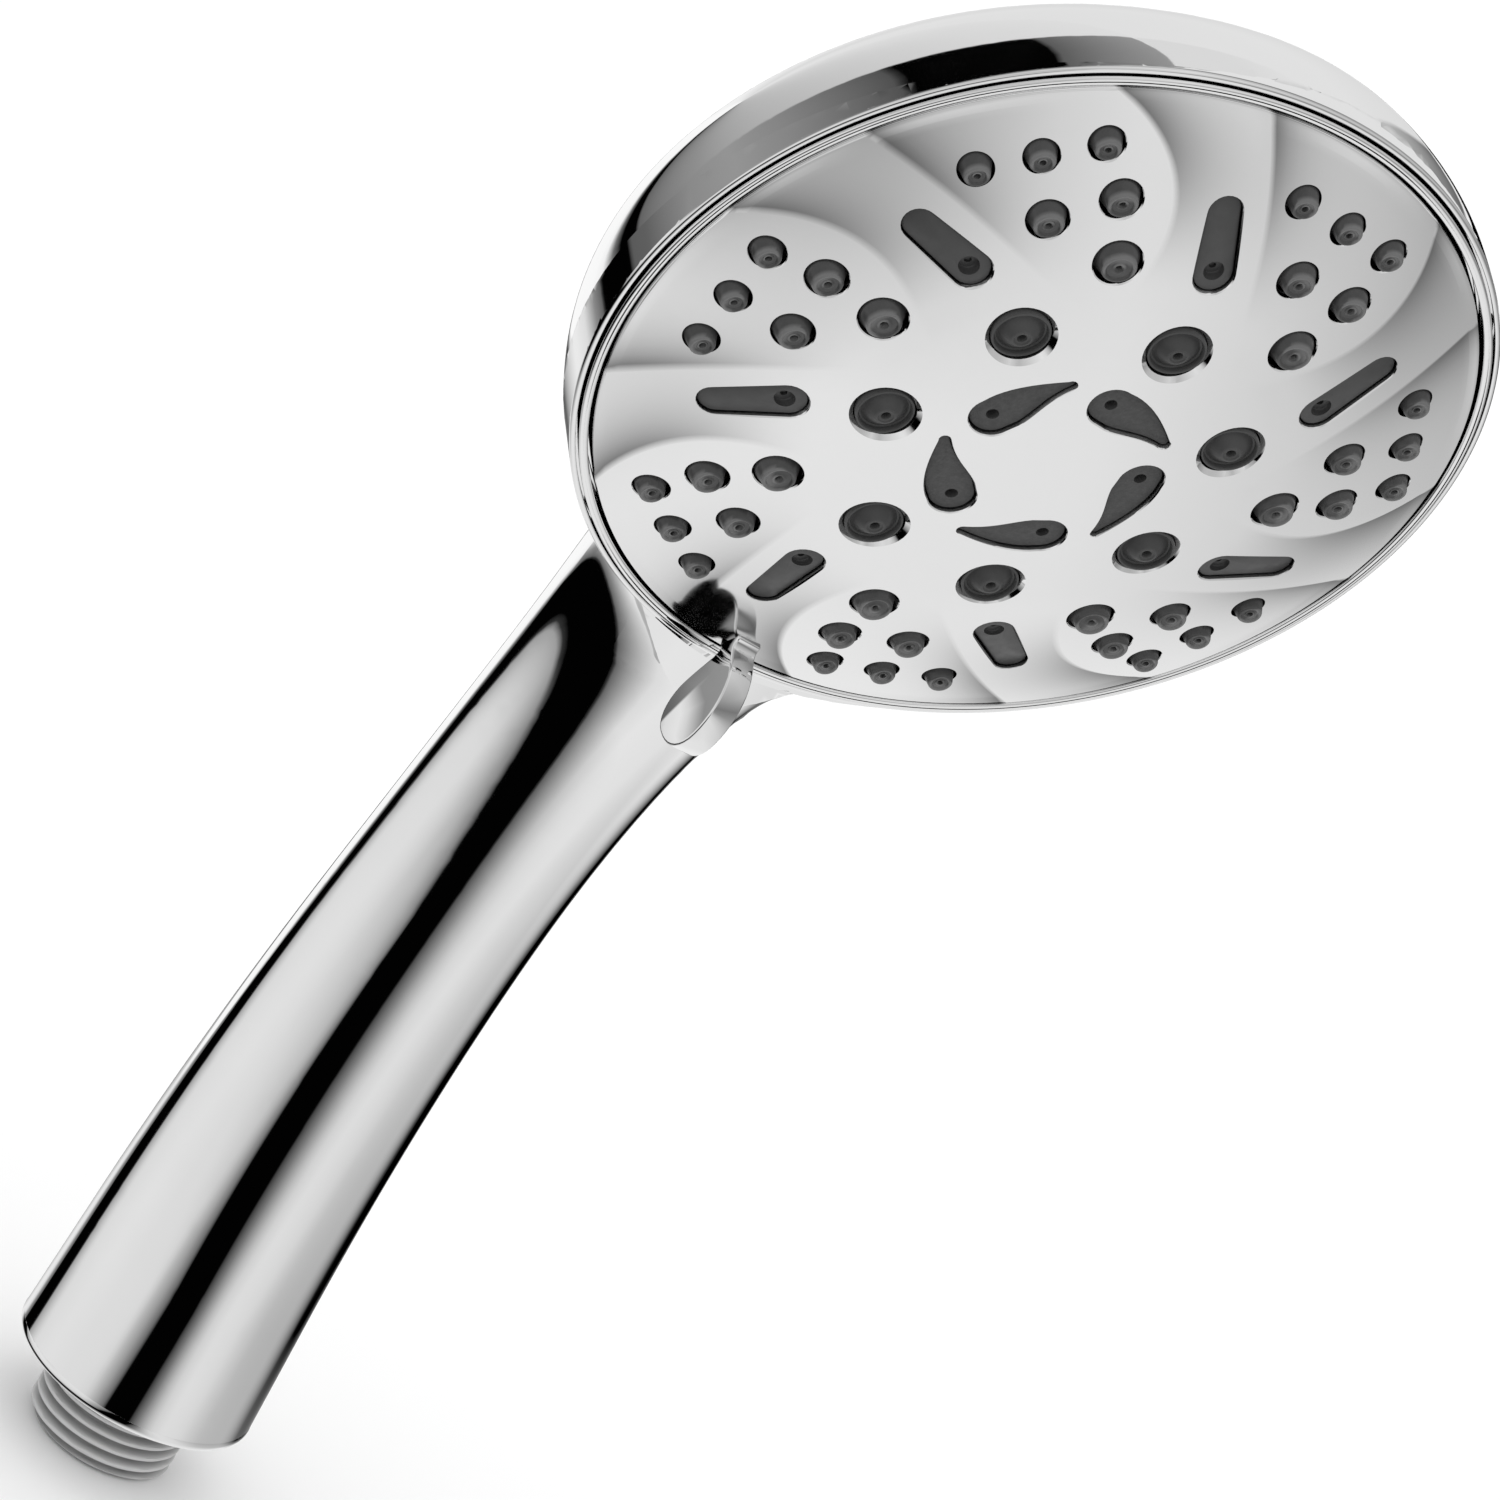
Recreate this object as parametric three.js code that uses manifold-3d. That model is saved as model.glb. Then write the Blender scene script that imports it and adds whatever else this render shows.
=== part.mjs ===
// Handheld shower head: a chromed body and handle, a turning spray face with a thumb lever, and a G1/2 inlet.
// Millimetres. Origin at the centre of the thread's end face, +Z up along the lower handle,
// the spray face looks towards -Y and a little down, X is across the face.
import * as THREE from "three";
import { mergeVertices } from "three/addons/utils/BufferGeometryUtils.js";
import Module from "manifold-3d";

const wasm = await Module();
wasm.setup();

// Clearances
const GAP = 0.3; // between pieces that touch
const SLACK = 0.08; // running fit of the pivot
const PAST = 20; // how far a cutting tool runs past what it cuts

// Inlet thread, G1/2
const THREAD_CREST_R = 10.48;
const THREAD_ROOT_R = 9.32;
const THREAD_PITCH = 1.814;
const THREAD_TURNS = 6;
const INLET_BORE_R = 7;

// Handle
const HANDLE_END_Z = 10.9; // the thread stands this far out of the handle
const HANDLE_END_R = 17;
const HANDLE_NECK_R = 13.1;
const TAPER_TOP_Z = 100; // the handle narrows up to here
const NECK_Z = 150; // above this the handle fades into the head's back
const NOSE_LENGTH = 55;
const BOW_START_Z = 30; // below this the handle is straight
const BOW_R = 370;
const SWAN_START_Z = 140; // above this the axis leans further forward, into the head
const SWAN = 0.0025;
const FLARE_START_Z = 126;
const FLARE_END_Z = 152;
const FLARE = 0.75; // extra width where the neck meets the rim
const WALL = 3;

// Head
const HEAD_TILT = 22; // degrees that the face looks down when the handle's end is upright
const HEAD_Y = -63.7;
const HEAD_Z = 198.1;
const FACE_R = 50.7;
const FACE_BULGE = 8.7;
const PLATE_T = 1.6;
const SKIRT_INNER_R = 49.2;
const SKIRT_DEPTH = 3.4;
const BEZEL_INNER_R = 51;
const BEZEL_OUTER_R = 52.1;
const BEZEL_DEPTH = 3.7;
const BAND_R = 53.1;
const BAND_FRONT = -0.5;
const BACK_TILT = 5; // degrees from the face to the edge between band and back
const BACK_PLANE = -5.5;
const BACK_DEPTH = 23;
const BACK_POWER = 2.7; // superellipse exponent of the back
const SHELL_T = 2.6;

// Stack behind the face, as heights in the head's frame
const MAT_GAP = 1.9;
const MAT_T = 1.2;
const MAT_R = 47;
const SPRAY_GAP = 3.4;
const SPRAY_R = 47.5;
const SPRAY_BACK = -3.6;
const DISC_FRONT = -3.9;
const DISC_BACK = -6.5;
const DISC_R = 45;
const MANIFOLD_FRONT = -6.8;
const MANIFOLD_BACK = -10.4;
const MANIFOLD_R = 46;

// Spray pattern: radius from the face axis, angle of the first copy clockwise from +X, copies
const PETALS = 7;
const PETAL_NOZZLES = [
  { r: 30.2, angle: -112.9, tip: 2.1, foot: 2.5 },
  { r: 35.7, angle: -127.5, tip: 1.8, foot: 2.2 },
  { r: 38.0, angle: -115.2, tip: 1.8, foot: 2.2 },
  { r: 43.0, angle: -137.6, tip: 1.5, foot: 1.8 },
  { r: 43.3, angle: -128.1, tip: 1.5, foot: 1.8 },
  { r: 44.4, angle: -118.9, tip: 1.5, foot: 1.8 },
];
const NOZZLE_STAND = 1.3; // how far the nozzle tips stand proud of the face
const SLOT = { r: 34.9, angle: -94.6, length: 12, width: 4, skew: -24 };
const TEARDROPS = 5;
const TEARDROP = { r: 11.3, angle: -161.3, tailR: 13.3, tailAngle: -116.8, width: 5 };
const MIST = { r: 21, angle: -135.9, outerR: 3.4 };
const JET_R = 0.5;

// Selector
const LEVER_ANGLE = 98;
const LEVER_T = 3.6;
const LEVER_FOOT_R = 48.2;
const DETENTS = 7;
const DETENT_PITCH = 20;
const DETENT_R = 38;
const DETENT_ANGLE = -55; // counter-clockwise from +X, seen from the front
const BALL_R = 2;
const PORT_R = 24;
const CHANNELS = [
  { inner: 8, outer: 15, top: 2.6 },
  { inner: 18, outer: 24, top: 1.6 },
  { inner: 28, outer: 40, top: -1.7 },
];
const SCREW_R = 42;
const SCREW_ANGLES = [90, 210, 330];
const PORT_BOSS = 4.8; // how far the port's boss stands behind the manifold
const BALL_BOSS = 4;
const JOURNAL_R = 3.9;
const WASHER_Z = DISC_BACK + 1.6;
const SPINDLE_BOSS_R = 5;
const POST_R = 3.4;
const POST_PILOT_R = 1.4;
const FACE_SEAL_R = 43.3;
const FACE_SEAL_GROOVE = [42.1, 44.4];
const HUB_OPENING_R = 7.2;
const COUNTERBORE_R = 6.9;
const CORE_TOP_Z = 166;
const CORE_FLANGE_R = 13.2;
const CORE_TUBE_R = 8;
const CORE_GROOVE_R = 11.6;
const CORE_BORE_R = 3.9;
const SPIGOT_R = 5.8;
const SPIGOT_Z = 148;
const ELBOW_R = 7.2;

const MATERIALS = {
  chrome: { color: 0xdcdde0, roughness: 0.05, metalness: 1 },
  satinChrome: { color: 0xc4c5c8, roughness: 0.22, metalness: 1 },
  silicone: { color: 0x3a3b3d, roughness: 0.6, metalness: 0 },
  greyPlastic: { color: 0x8f9291, roughness: 0.55, metalness: 0 },
  whitePlastic: { color: 0xe4e4df, roughness: 0.5, metalness: 0 },
  rubber: { color: 0x151515, roughness: 0.75, metalness: 0 },
  steel: { color: 0xb4b6b8, roughness: 0.3, metalness: 1 },
};

const rad = THREE.MathUtils.degToRad;
const PORT_AT = [0, -PORT_R];
const BALL_AT = [DETENT_R * Math.cos(rad(DETENT_ANGLE)), DETENT_R * Math.sin(rad(DETENT_ANGLE))];
const v2 = (x, y) => new THREE.Vector2(x, y);

// ---------- solids ----------

// Position-only, merged, without collapsed triangles, faces out.
function cleaned(geometry) {
  const bare = geometry.clone();
  for (const name of Object.keys(bare.attributes)) {
    if (name !== "position") bare.deleteAttribute(name);
  }
  const merged = mergeVertices(bare, 1e-4);
  const index = [...merged.index.array];
  const p = merged.attributes.position;
  const corner = (i) => new THREE.Vector3().fromBufferAttribute(p, i);
  const kept = [];
  let volume = 0;
  for (let i = 0; i < index.length; i += 3) {
    const [a, b, c] = index.slice(i, i + 3);
    if (a === b || b === c || a === c) continue;
    kept.push(a, b, c);
    volume += corner(a).dot(corner(b).cross(corner(c)));
  }
  if (volume < 0) kept.reverse();
  merged.setIndex(kept);
  return merged;
}

function solid(geometry) {
  const g = cleaned(geometry);
  const vertProperties = g.attributes.position.array;
  const triVerts = new Uint32Array(g.index.array);
  return new wasm.Manifold(new wasm.Mesh({ numProp: 3, vertProperties, triVerts }));
}

function geometryOf(body) {
  const mesh = body.getMesh();
  const g = new THREE.BufferGeometry();
  g.setAttribute("position", new THREE.Float32BufferAttribute(mesh.vertProperties, 3));
  g.setIndex(new THREE.BufferAttribute(mesh.triVerts, 1));
  const faceted = g.toNonIndexed();
  faceted.computeVertexNormals();
  return faceted;
}

// A profile of [radius, height] pairs turned round Z.
function turnedGeometry(profile, segments = 36) {
  const g = new THREE.LatheGeometry(profile.map(([r, z]) => v2(r, z)), segments);
  return g.rotateX(Math.PI / 2);
}

const turned = (profile, segments) => solid(turnedGeometry(profile, segments));

function rod(radius, z0, z1, segments = 16) {
  return turned([[0, z0], [radius, z0], [radius, z1], [0, z1]], segments);
}

function ring(inner, outer, z0, z1, segments = 36) {
  return turned([[inner, z0], [outer, z0], [outer, z1], [inner, z1], [inner, z0]], segments);
}

function seal(major, minor, z, segments = 24) {
  return solid(new THREE.TorusGeometry(major, minor, 5, segments).translate(0, 0, z));
}

function block(x0, x1, y0, y1, z0, z1) {
  const g = new THREE.BoxGeometry(x1 - x0, y1 - y0, z1 - z0);
  return solid(g.translate((x0 + x1) / 2, (y0 + y1) / 2, (z0 + z1) / 2));
}

function prism(points, z0, z1) {
  const shape = new THREE.Shape(points.map(([x, y]) => v2(x, y)));
  const g = new THREE.ExtrudeGeometry(shape, { depth: z1 - z0, bevelEnabled: false });
  return solid(g.translate(0, 0, z0));
}

const addAll = (bodies) => bodies.reduce((sum, b) => sum.add(b));
const cutAll = (body, tools) => tools.reduce((left, tool) => left.subtract(tool), body);

// Heights from z0 to z1 in equal steps.
function steps(z0, z1, count) {
  return Array.from({ length: count + 1 }, (_, i) => z0 + ((z1 - z0) * i) / count);
}

class Helix extends THREE.Curve {
  constructor(radius, z0, z1, turns) {
    super();
    Object.assign(this, { radius, z0, z1, turns });
  }

  getPoint(t, target = new THREE.Vector3()) {
    const a = 2 * Math.PI * this.turns * t;
    const z = THREE.MathUtils.lerp(this.z0, this.z1, t);
    return target.set(this.radius * Math.cos(a), this.radius * Math.sin(a), z);
  }
}

function coilSpring(radius, wire, z0, z1, turns) {
  const section = new THREE.Shape();
  section.absarc(0, 0, wire, 0, 2 * Math.PI);
  const path = new Helix(radius, z0 + wire, z1 - wire, turns);
  const options = { steps: turns * 8, curveSegments: 2, bevelEnabled: false, extrudePath: path };
  return solid(new THREE.ExtrudeGeometry(section, options));
}

// ---------- shared curves ----------

// How far the handle's axis lies from the Z axis at a height.
function bow(z) {
  const arc = -(Math.max(0, z - BOW_START_Z) ** 2) / (2 * BOW_R);
  return arc - SWAN * Math.max(0, z - SWAN_START_Z) ** 2;
}

function handleRadius(z) {
  const slope = (HANDLE_END_R - HANDLE_NECK_R) / (TAPER_TOP_Z - HANDLE_END_Z);
  if (z < TAPER_TOP_Z) return HANDLE_NECK_R + slope * (TAPER_TOP_Z - z);
  const nose = Math.min(1, Math.max(0, z - NECK_Z) / NOSE_LENGTH);
  return HANDLE_NECK_R * Math.sqrt(1 - nose * nose);
}

function flare(z) {
  return 1 + FLARE * THREE.MathUtils.smoothstep(z, FLARE_START_Z, FLARE_END_Z);
}

// A straight turned piece laid along the handle's curved axis.
function bent(geometry, widen = () => 1) {
  const p = geometry.attributes.position;
  for (let i = 0; i < p.count; i++) {
    const z = p.getZ(i);
    p.setXY(i, p.getX(i) * widen(z), p.getY(i) + bow(z));
  }
  return solid(geometry);
}

// Height of the face's outer surface above the plane of its edge.
const dome = (r) => FACE_BULGE * (1 - (r / FACE_R) ** 2);

// Points of a surface that follows the face, a constant drop below it.
function domeProfile(drop, fromR, toR, count) {
  return steps(fromR, toR, count).map((r) => [r, dome(r) - drop]);
}

// A place on the face, from its radius and its angle clockwise from +X.
function onFace(r, clockwise) {
  return [r * Math.cos(rad(clockwise)), -r * Math.sin(rad(clockwise))];
}

const placed = (body, [x, y], z = 0) => body.translate([x, y, z]);

function copies(count, place) {
  return Array.from({ length: count }, (_, i) => place((360 / count) * i));
}

// ---------- body, bezel and handle ----------

// Head's frame to the part's frame.
const headMatrix = new THREE.Matrix4()
  .makeRotationX(rad(90 + HEAD_TILT))
  .setPosition(0, HEAD_Y, HEAD_Z);
const toPart = (body) => body.transform(headMatrix.elements);

function backOf(radius, depth, rings) {
  const arc = steps(0, 90, rings).map((a) => {
    const r = radius * Math.cos(rad(a)) ** (2 / BACK_POWER);
    return [a === 90 ? 0 : r, -depth * Math.sin(rad(a)) ** (2 / BACK_POWER)];
  });
  const body = turned([[0, GAP], [radius, GAP], ...arc]);
  return body.rotate([BACK_TILT, 0, 0]).translate([0, 0, BACK_PLANE]);
}

function frontOfBackPlane() {
  const half = 2 * BAND_R;
  const room = block(-half, half, -half, half, 0, half);
  return room.rotate([BACK_TILT, 0, 0]).translate([0, 0, BACK_PLANE]);
}

function handleSolid(inset, rings, segments, bottomZ) {
  const topZ = NECK_Z + NOSE_LENGTH - inset;
  const heights = [
    ...steps(bottomZ, BOW_START_Z, 1),
    ...steps(BOW_START_Z, NECK_Z, rings).slice(1),
    ...steps(NECK_Z, topZ, 5).slice(1, -1),
  ];
  const wall = heights.map((z) => [Math.max(1, handleRadius(z) - inset), z]);
  const profile = [[0, bottomZ], ...wall, [0, topZ]];
  const narrow = (z) => 1 + (flare(z) - 1) * (inset ? 0.4 : 1);
  return bent(turnedGeometry(profile, segments), narrow);
}

function bodyShell() {
  const band = rod(BAND_R, BACK_PLANE - PAST, BAND_FRONT, 40).intersect(frontOfBackPlane());
  const head = toPart(band.add(backOf(BAND_R, BACK_DEPTH, 6)));
  const outer = head.add(handleSolid(0, 7, 20, HANDLE_END_Z));
  const pocket = rod(BEZEL_OUTER_R + GAP, -BEZEL_DEPTH - GAP, PAST, 40);
  const innerR = BAND_R - SHELL_T;
  const room = rod(innerR, BACK_PLANE - PAST, 0).intersect(frontOfBackPlane());
  const pilot = rod(POST_PILOT_R, MANIFOLD_BACK - 5, 0, 8);
  const post = rod(POST_R, -2 * PAST, MANIFOLD_BACK - GAP, 10).subtract(pilot);
  const posts = toPart(addAll(SCREW_ANGLES.map((a) => placed(post, onFace(SCREW_R, -a)))));
  const bore = handleSolid(WALL, 6, 20, HANDLE_END_Z - PAST);
  const hollow = toPart(room.add(backOf(innerR, BACK_DEPTH - SHELL_T, 6))).add(bore);
  return cutAll(outer, [hollow.subtract(posts), toPart(pocket)]);
}

function rimBezel() {
  return turned(
    [
      [BEZEL_INNER_R, -BEZEL_DEPTH],
      [BEZEL_OUTER_R, -BEZEL_DEPTH],
      [BEZEL_OUTER_R, -0.35],
      [51.8, 0],
      [51.3, 0],
      [BEZEL_INNER_R, -0.35],
      [BEZEL_INNER_R, -BEZEL_DEPTH],
    ],
    40,
  );
}

function handleCore() {
  const crest = [];
  for (let i = 0; i < THREAD_TURNS; i++) {
    const z = 0.2 + i * THREAD_PITCH;
    crest.push([THREAD_CREST_R, z + 0.7], [THREAD_ROOT_R, z + THREAD_PITCH - 0.2]);
  }
  const seat = HANDLE_END_Z + 5.1;
  const profile = [
    [INLET_BORE_R, 0],
    [THREAD_ROOT_R, 0],
    ...crest,
    [CORE_FLANGE_R, HANDLE_END_Z + 0.3],
    [CORE_FLANGE_R, 12.9],
    [CORE_GROOVE_R, 12.9],
    [CORE_GROOVE_R, 14.5],
    [CORE_FLANGE_R, 14.5],
    [CORE_FLANGE_R, 16.5],
    [CORE_TUBE_R, 20],
    ...steps(BOW_START_Z, SPIGOT_Z - 3, 5).map((z) => [CORE_TUBE_R, z]),
    [SPIGOT_R, SPIGOT_Z],
    [SPIGOT_R, CORE_TOP_Z - 8],
    [4.75, CORE_TOP_Z - 8],
    [4.75, CORE_TOP_Z - 6.5],
    [SPIGOT_R, CORE_TOP_Z - 6.5],
    [SPIGOT_R, CORE_TOP_Z],
    ...steps(CORE_TOP_Z, BOW_START_Z, 6).map((z) => [CORE_BORE_R, z]),
    [CORE_BORE_R, seat],
    [INLET_BORE_R, seat],
    [INLET_BORE_R, 0],
  ];
  return bent(turnedGeometry(profile, 20));
}

function bentSeal(major, minor, z) {
  return bent(new THREE.TorusGeometry(major, minor, 5, 20).translate(0, 0, z));
}

function filterScreen() {
  const holes = [[0, 0], ...copies(6, (a) => [3.9 * Math.cos(rad(a)), 3.9 * Math.sin(rad(a))])];
  const disc = rod(INLET_BORE_R - GAP, 8.6, 9.5, 24);
  return cutAll(disc, holes.map((at) => placed(rod(1.5, 0, PAST, 6), at)));
}

function flowRestrictor() {
  const disc = rod(INLET_BORE_R - GAP, 11.6, 15.6, 24);
  const pocket = ring(2.6, 5, 11, 13.6, 16);
  return cutAll(disc, [pocket, rod(1.4, 0, PAST, 10)]);
}

function inletElbow() {
  const bottom = SPIGOT_Z + 4;
  const top = 188;
  const bore = ELBOW_R - 1.1;
  const profile = [
    [bore, bottom],
    ...steps(bottom, top, 4).map((z) => [ELBOW_R, z]),
    [0, top],
    [0, top - 1.5],
    ...steps(top - 1.5, bottom, 4).map((z) => [bore, z]),
  ];
  const port = toPart(placed(rod(7.4, MANIFOLD_BACK - 8, PAST), [0, -PORT_R]));
  return bent(turnedGeometry(profile, 20)).subtract(port);
}

// ---------- fixed valve side, in the head's frame ----------


function manifoldPlate() {
  const plate = addAll([
    rod(MANIFOLD_R, MANIFOLD_BACK, MANIFOLD_FRONT, 32),
    rod(SPINDLE_BOSS_R, MANIFOLD_BACK - 5, MANIFOLD_FRONT - 1, 16),
    rod(JOURNAL_R, MANIFOLD_BACK, DISC_BACK + 1.2, 24),
    placed(rod(7, MANIFOLD_BACK - PORT_BOSS, MANIFOLD_BACK + 1, 20), PORT_AT),
    placed(rod(3.4, MANIFOLD_BACK - BALL_BOSS, MANIFOLD_BACK + 1, 12), BALL_AT),
  ]);
  const screwHoles = SCREW_ANGLES.flatMap((a) => {
    const at = onFace(SCREW_R, -a);
    return [placed(rod(1.5, -PAST, 0, 8), at), placed(rod(2.9, MANIFOLD_FRONT - 2, 0, 10), at)];
  });
  return cutAll(plate, [
    rod(2.3, MANIFOLD_BACK - 4, PAST, 12),
    ring(5.7, 7.3, MANIFOLD_FRONT - 1.3, PAST, 24),
    placed(rod(5.4, MANIFOLD_BACK - 3.4, 0, 16), PORT_AT),
    placed(rod(3, -PAST, 0, 12), PORT_AT),
    placed(rod(2.3, MANIFOLD_BACK - 2.8, 0, 12), BALL_AT),
    ...screwHoles,
  ]);
}

function portSeal() {
  const top = MANIFOLD_FRONT + 0.1;
  const profile = [
    [2.6, top - 3], [5.1, top - 3], [5.1, top - 0.6], [4.5, top], [3, top], [2.6, top - 0.4], [2.6, top - 3],
  ];
  return placed(turned(profile, 20), PORT_AT);
}

function portSpring() {
  const z0 = MANIFOLD_BACK - 3.4 + GAP;
  return placed(coilSpring(4.2, 0.4, z0, MANIFOLD_FRONT - 3.2, 2), PORT_AT);
}

function detentBall() {
  const ball = new THREE.SphereGeometry(BALL_R, 10, 7).rotateX(Math.PI / 2);
  return placed(solid(ball), BALL_AT, DISC_BACK - 0.1 - BALL_R);
}

function detentSpring() {
  const z0 = MANIFOLD_BACK - 2.8 + GAP;
  return placed(coilSpring(1.6, 0.25, z0, DISC_BACK - 2 * BALL_R - 0.2, 3), BALL_AT);
}

function screw(headR, shankR, headZ, headT, tipZ) {
  const slot = block(-0.4, 0.4, -headR, headR, headZ + headT - 0.7, PAST);
  return rod(headR, headZ, headZ + headT, 16).add(rod(shankR, tipZ, headZ + 0.2, 10)).subtract(slot);
}

function manifoldScrew(angle) {
  const body = screw(2.5, 1.1, MANIFOLD_FRONT - 1.7, 1.6, MANIFOLD_BACK - 4.6);
  return placed(body, onFace(SCREW_R, -angle));
}

function spindleScrew() {
  return screw(4.4, 2, WASHER_Z + 0.9, 2, MANIFOLD_BACK - 3.6);
}

const thrustWasher = () => ring(2.4, 6.4, WASHER_Z, WASHER_Z + 0.6, 24);
const spindleSeal = () => seal(6.5, 0.45, MANIFOLD_FRONT - 0.6, 20);

// ---------- turning side, in the head's frame ----------

function mistPlaces() {
  return copies(PETALS, (a) => onFace(MIST.r, MIST.angle + a));
}

function nozzlePlaces() {
  return PETAL_NOZZLES.flatMap((n) =>
    copies(PETALS, (a) => ({ ...n, at: onFace(n.r, n.angle + a) })),
  );
}

// Rounded bar outline, grown by a margin, with its round ends as half circles.
function slotOutline(margin, facets = 3) {
  const half = SLOT.length / 2 - SLOT.width / 2;
  const r = SLOT.width / 2 + margin;
  const end = (sign) =>
    steps(-90, 90, facets).map((a) => [sign * (half + r * Math.cos(rad(a))), sign * r * Math.sin(rad(a))]);
  return [...end(1), ...end(-1)];
}

function slotPrisms(margin, z0, z1) {
  return copies(PETALS, (a) => {
    const clockwise = SLOT.angle + a;
    const turnedBar = prism(slotOutline(margin), z0, z1).rotate([0, 0, -clockwise - SLOT.skew]);
    return placed(turnedBar, onFace(SLOT.r, clockwise));
  });
}

// Round head with a tail that follows the pattern's circle.
function teardropPrisms(margin, z0, z1) {
  const r = TEARDROP.width / 2 + margin;
  return copies(TEARDROPS, (a) => {
    const [hx, hy] = onFace(TEARDROP.r, TEARDROP.angle + a);
    const [tx, ty] = onFace(TEARDROP.tailR + 0.3 * margin, TEARDROP.tailAngle + a);
    const heading = Math.atan2(ty - hy, tx - hx);
    const back = steps(80, 300, 5).map((d) => {
      const at = heading + rad(d);
      return [hx + r * Math.cos(at), hy + r * Math.sin(at)];
    });
    const bulge = 0.16 * Math.hypot(tx - hx, ty - hy);
    const side = [(hx + tx) / 2, (hy + ty) / 2];
    const out = [Math.cos(heading + Math.PI / 2), Math.sin(heading + Math.PI / 2)];
    const belly = [side[0] + (bulge + margin + 1) * out[0], side[1] + (bulge + margin + 1) * out[1]];
    const hollow = [side[0] - (0.2 + margin) * out[0], side[1] - (0.2 + margin) * out[1]];
    const end = [tx + 2 * margin * Math.cos(heading), ty + 2 * margin * Math.sin(heading)];
    return prism([belly, ...back, hollow, end], z0, z1);
  });
}

function selectorNotch(margin) {
  const half = LEVER_T / 2 + margin;
  return block(LEVER_FOOT_R - margin, PAST + FACE_R, -half, half, -PAST, PAST).rotate([0, 0, -LEVER_ANGLE]);
}

function facePlate() {
  const outer = [[0, FACE_BULGE], ...domeProfile(0, 14, FACE_R, 3)];
  const inner = domeProfile(PLATE_T, SKIRT_INNER_R, 0, 3);
  const skirt = [[FACE_R, -SKIRT_DEPTH], [SKIRT_INNER_R, -SKIRT_DEPTH]];
  const plate = turned([...outer, ...skirt, ...inner], 32);
  const holes = nozzlePlaces().map((n) => placed(rod(n.foot + GAP, -PAST, PAST, 6), n.at));
  const mists = mistPlaces().map((at) => placed(rod(MIST.outerR + GAP, -PAST, PAST, 8), at));
  return cutAll(plate, [
    addAll([...holes, ...mists]),
    addAll(slotPrisms(GAP, -PAST, PAST)),
    addAll(teardropPrisms(1.5 * GAP, -PAST, PAST)),
    selectorNotch(GAP),
  ]);
}

function nozzle({ r, tip, foot, at }) {
  const top = dome(r) + NOZZLE_STAND;
  const profile = [[0, dome(r) - 2.4], [foot, dome(r) - 2.4], [tip, top], [0, top]];
  return placed(turned(profile, 6), at);
}

// A solid that follows the face between two drops below it.
function domedPad(upper, lower, radius, segments = 28) {
  const top = domeProfile(upper, 0, radius, 3);
  const bottom = domeProfile(lower, radius, 0, 3);
  return turned([...top, ...bottom], segments);
}

function nozzleMat() {
  const mat = domedPad(MAT_GAP, MAT_GAP + MAT_T, MAT_R);
  const proud = domedPad(0.3, MAT_GAP + 0.4, MAT_R, 24);
  const pads = addAll([...slotPrisms(0, -PAST, PAST), ...teardropPrisms(0, -PAST, PAST)]);
  const body = addAll([mat, pads.intersect(proud), ...nozzlePlaces().map(nozzle)]);
  const wells = mistPlaces().map((at) => placed(rod(MIST.outerR + GAP, -PAST, PAST, 8), at));
  const jets = nozzlePlaces().map((n) => placed(rod(JET_R, -PAST, PAST, 3), n.at));
  const slotJets = copies(PETALS, (a) => placed(rod(JET_R, -PAST, PAST, 3), onFace(31, SLOT.angle + 4 + a)));
  const dropJets = copies(TEARDROPS, (a) =>
    placed(rod(JET_R, -PAST, PAST, 3), onFace(TEARDROP.r, TEARDROP.angle + a)),
  );
  return body.subtract(addAll([...wells, ...jets, ...slotJets, ...dropJets]));
}

function mistInsert(at) {
  const top = dome(MIST.r) - 0.7;
  const foot = dome(MIST.r) - 2.7;
  const body = [[MIST.outerR, foot], [MIST.outerR, top], [3, top], [1.6, top - 1.4]];
  const profile = [[0.6, foot], ...body, [0.6, top - 1.4], [0.6, foot]];
  return placed(turned(profile, 8), at);
}

function sprayPlate() {
  const top = domeProfile(SPRAY_GAP, 0, SPRAY_R, 3);
  const plate = turned([...top, [SPRAY_R, SPRAY_BACK], [0, SPRAY_BACK]], 28);
  const channels = CHANNELS.map((c) => ring(c.inner, c.outer, SPRAY_BACK - PAST, c.top, 20));
  const feeds = [
    ...copies(TEARDROPS, (a) => onFace(TEARDROP.r, TEARDROP.angle + a)),
    ...mistPlaces(),
    ...copies(PETALS, (a) => onFace(PETAL_NOZZLES[0].r, PETAL_NOZZLES[0].angle + a)),
  ].map((at) => placed(rod(0.9, -PAST, PAST, 4), at));
  return cutAll(plate, [
    rod(HUB_OPENING_R, SPRAY_BACK - PAST, WASHER_Z + 4, 20),
    ring(...FACE_SEAL_GROOVE, SPRAY_BACK - PAST, SPRAY_BACK + 1, 28),
    ...channels,
    addAll(feeds),
  ]);
}

// Angle of a spray mode's port on the disc, counter-clockwise, with the lever at its rest position.
const portAngle = (i) => -90 + (i - 2) * -DETENT_PITCH - 10;

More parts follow.
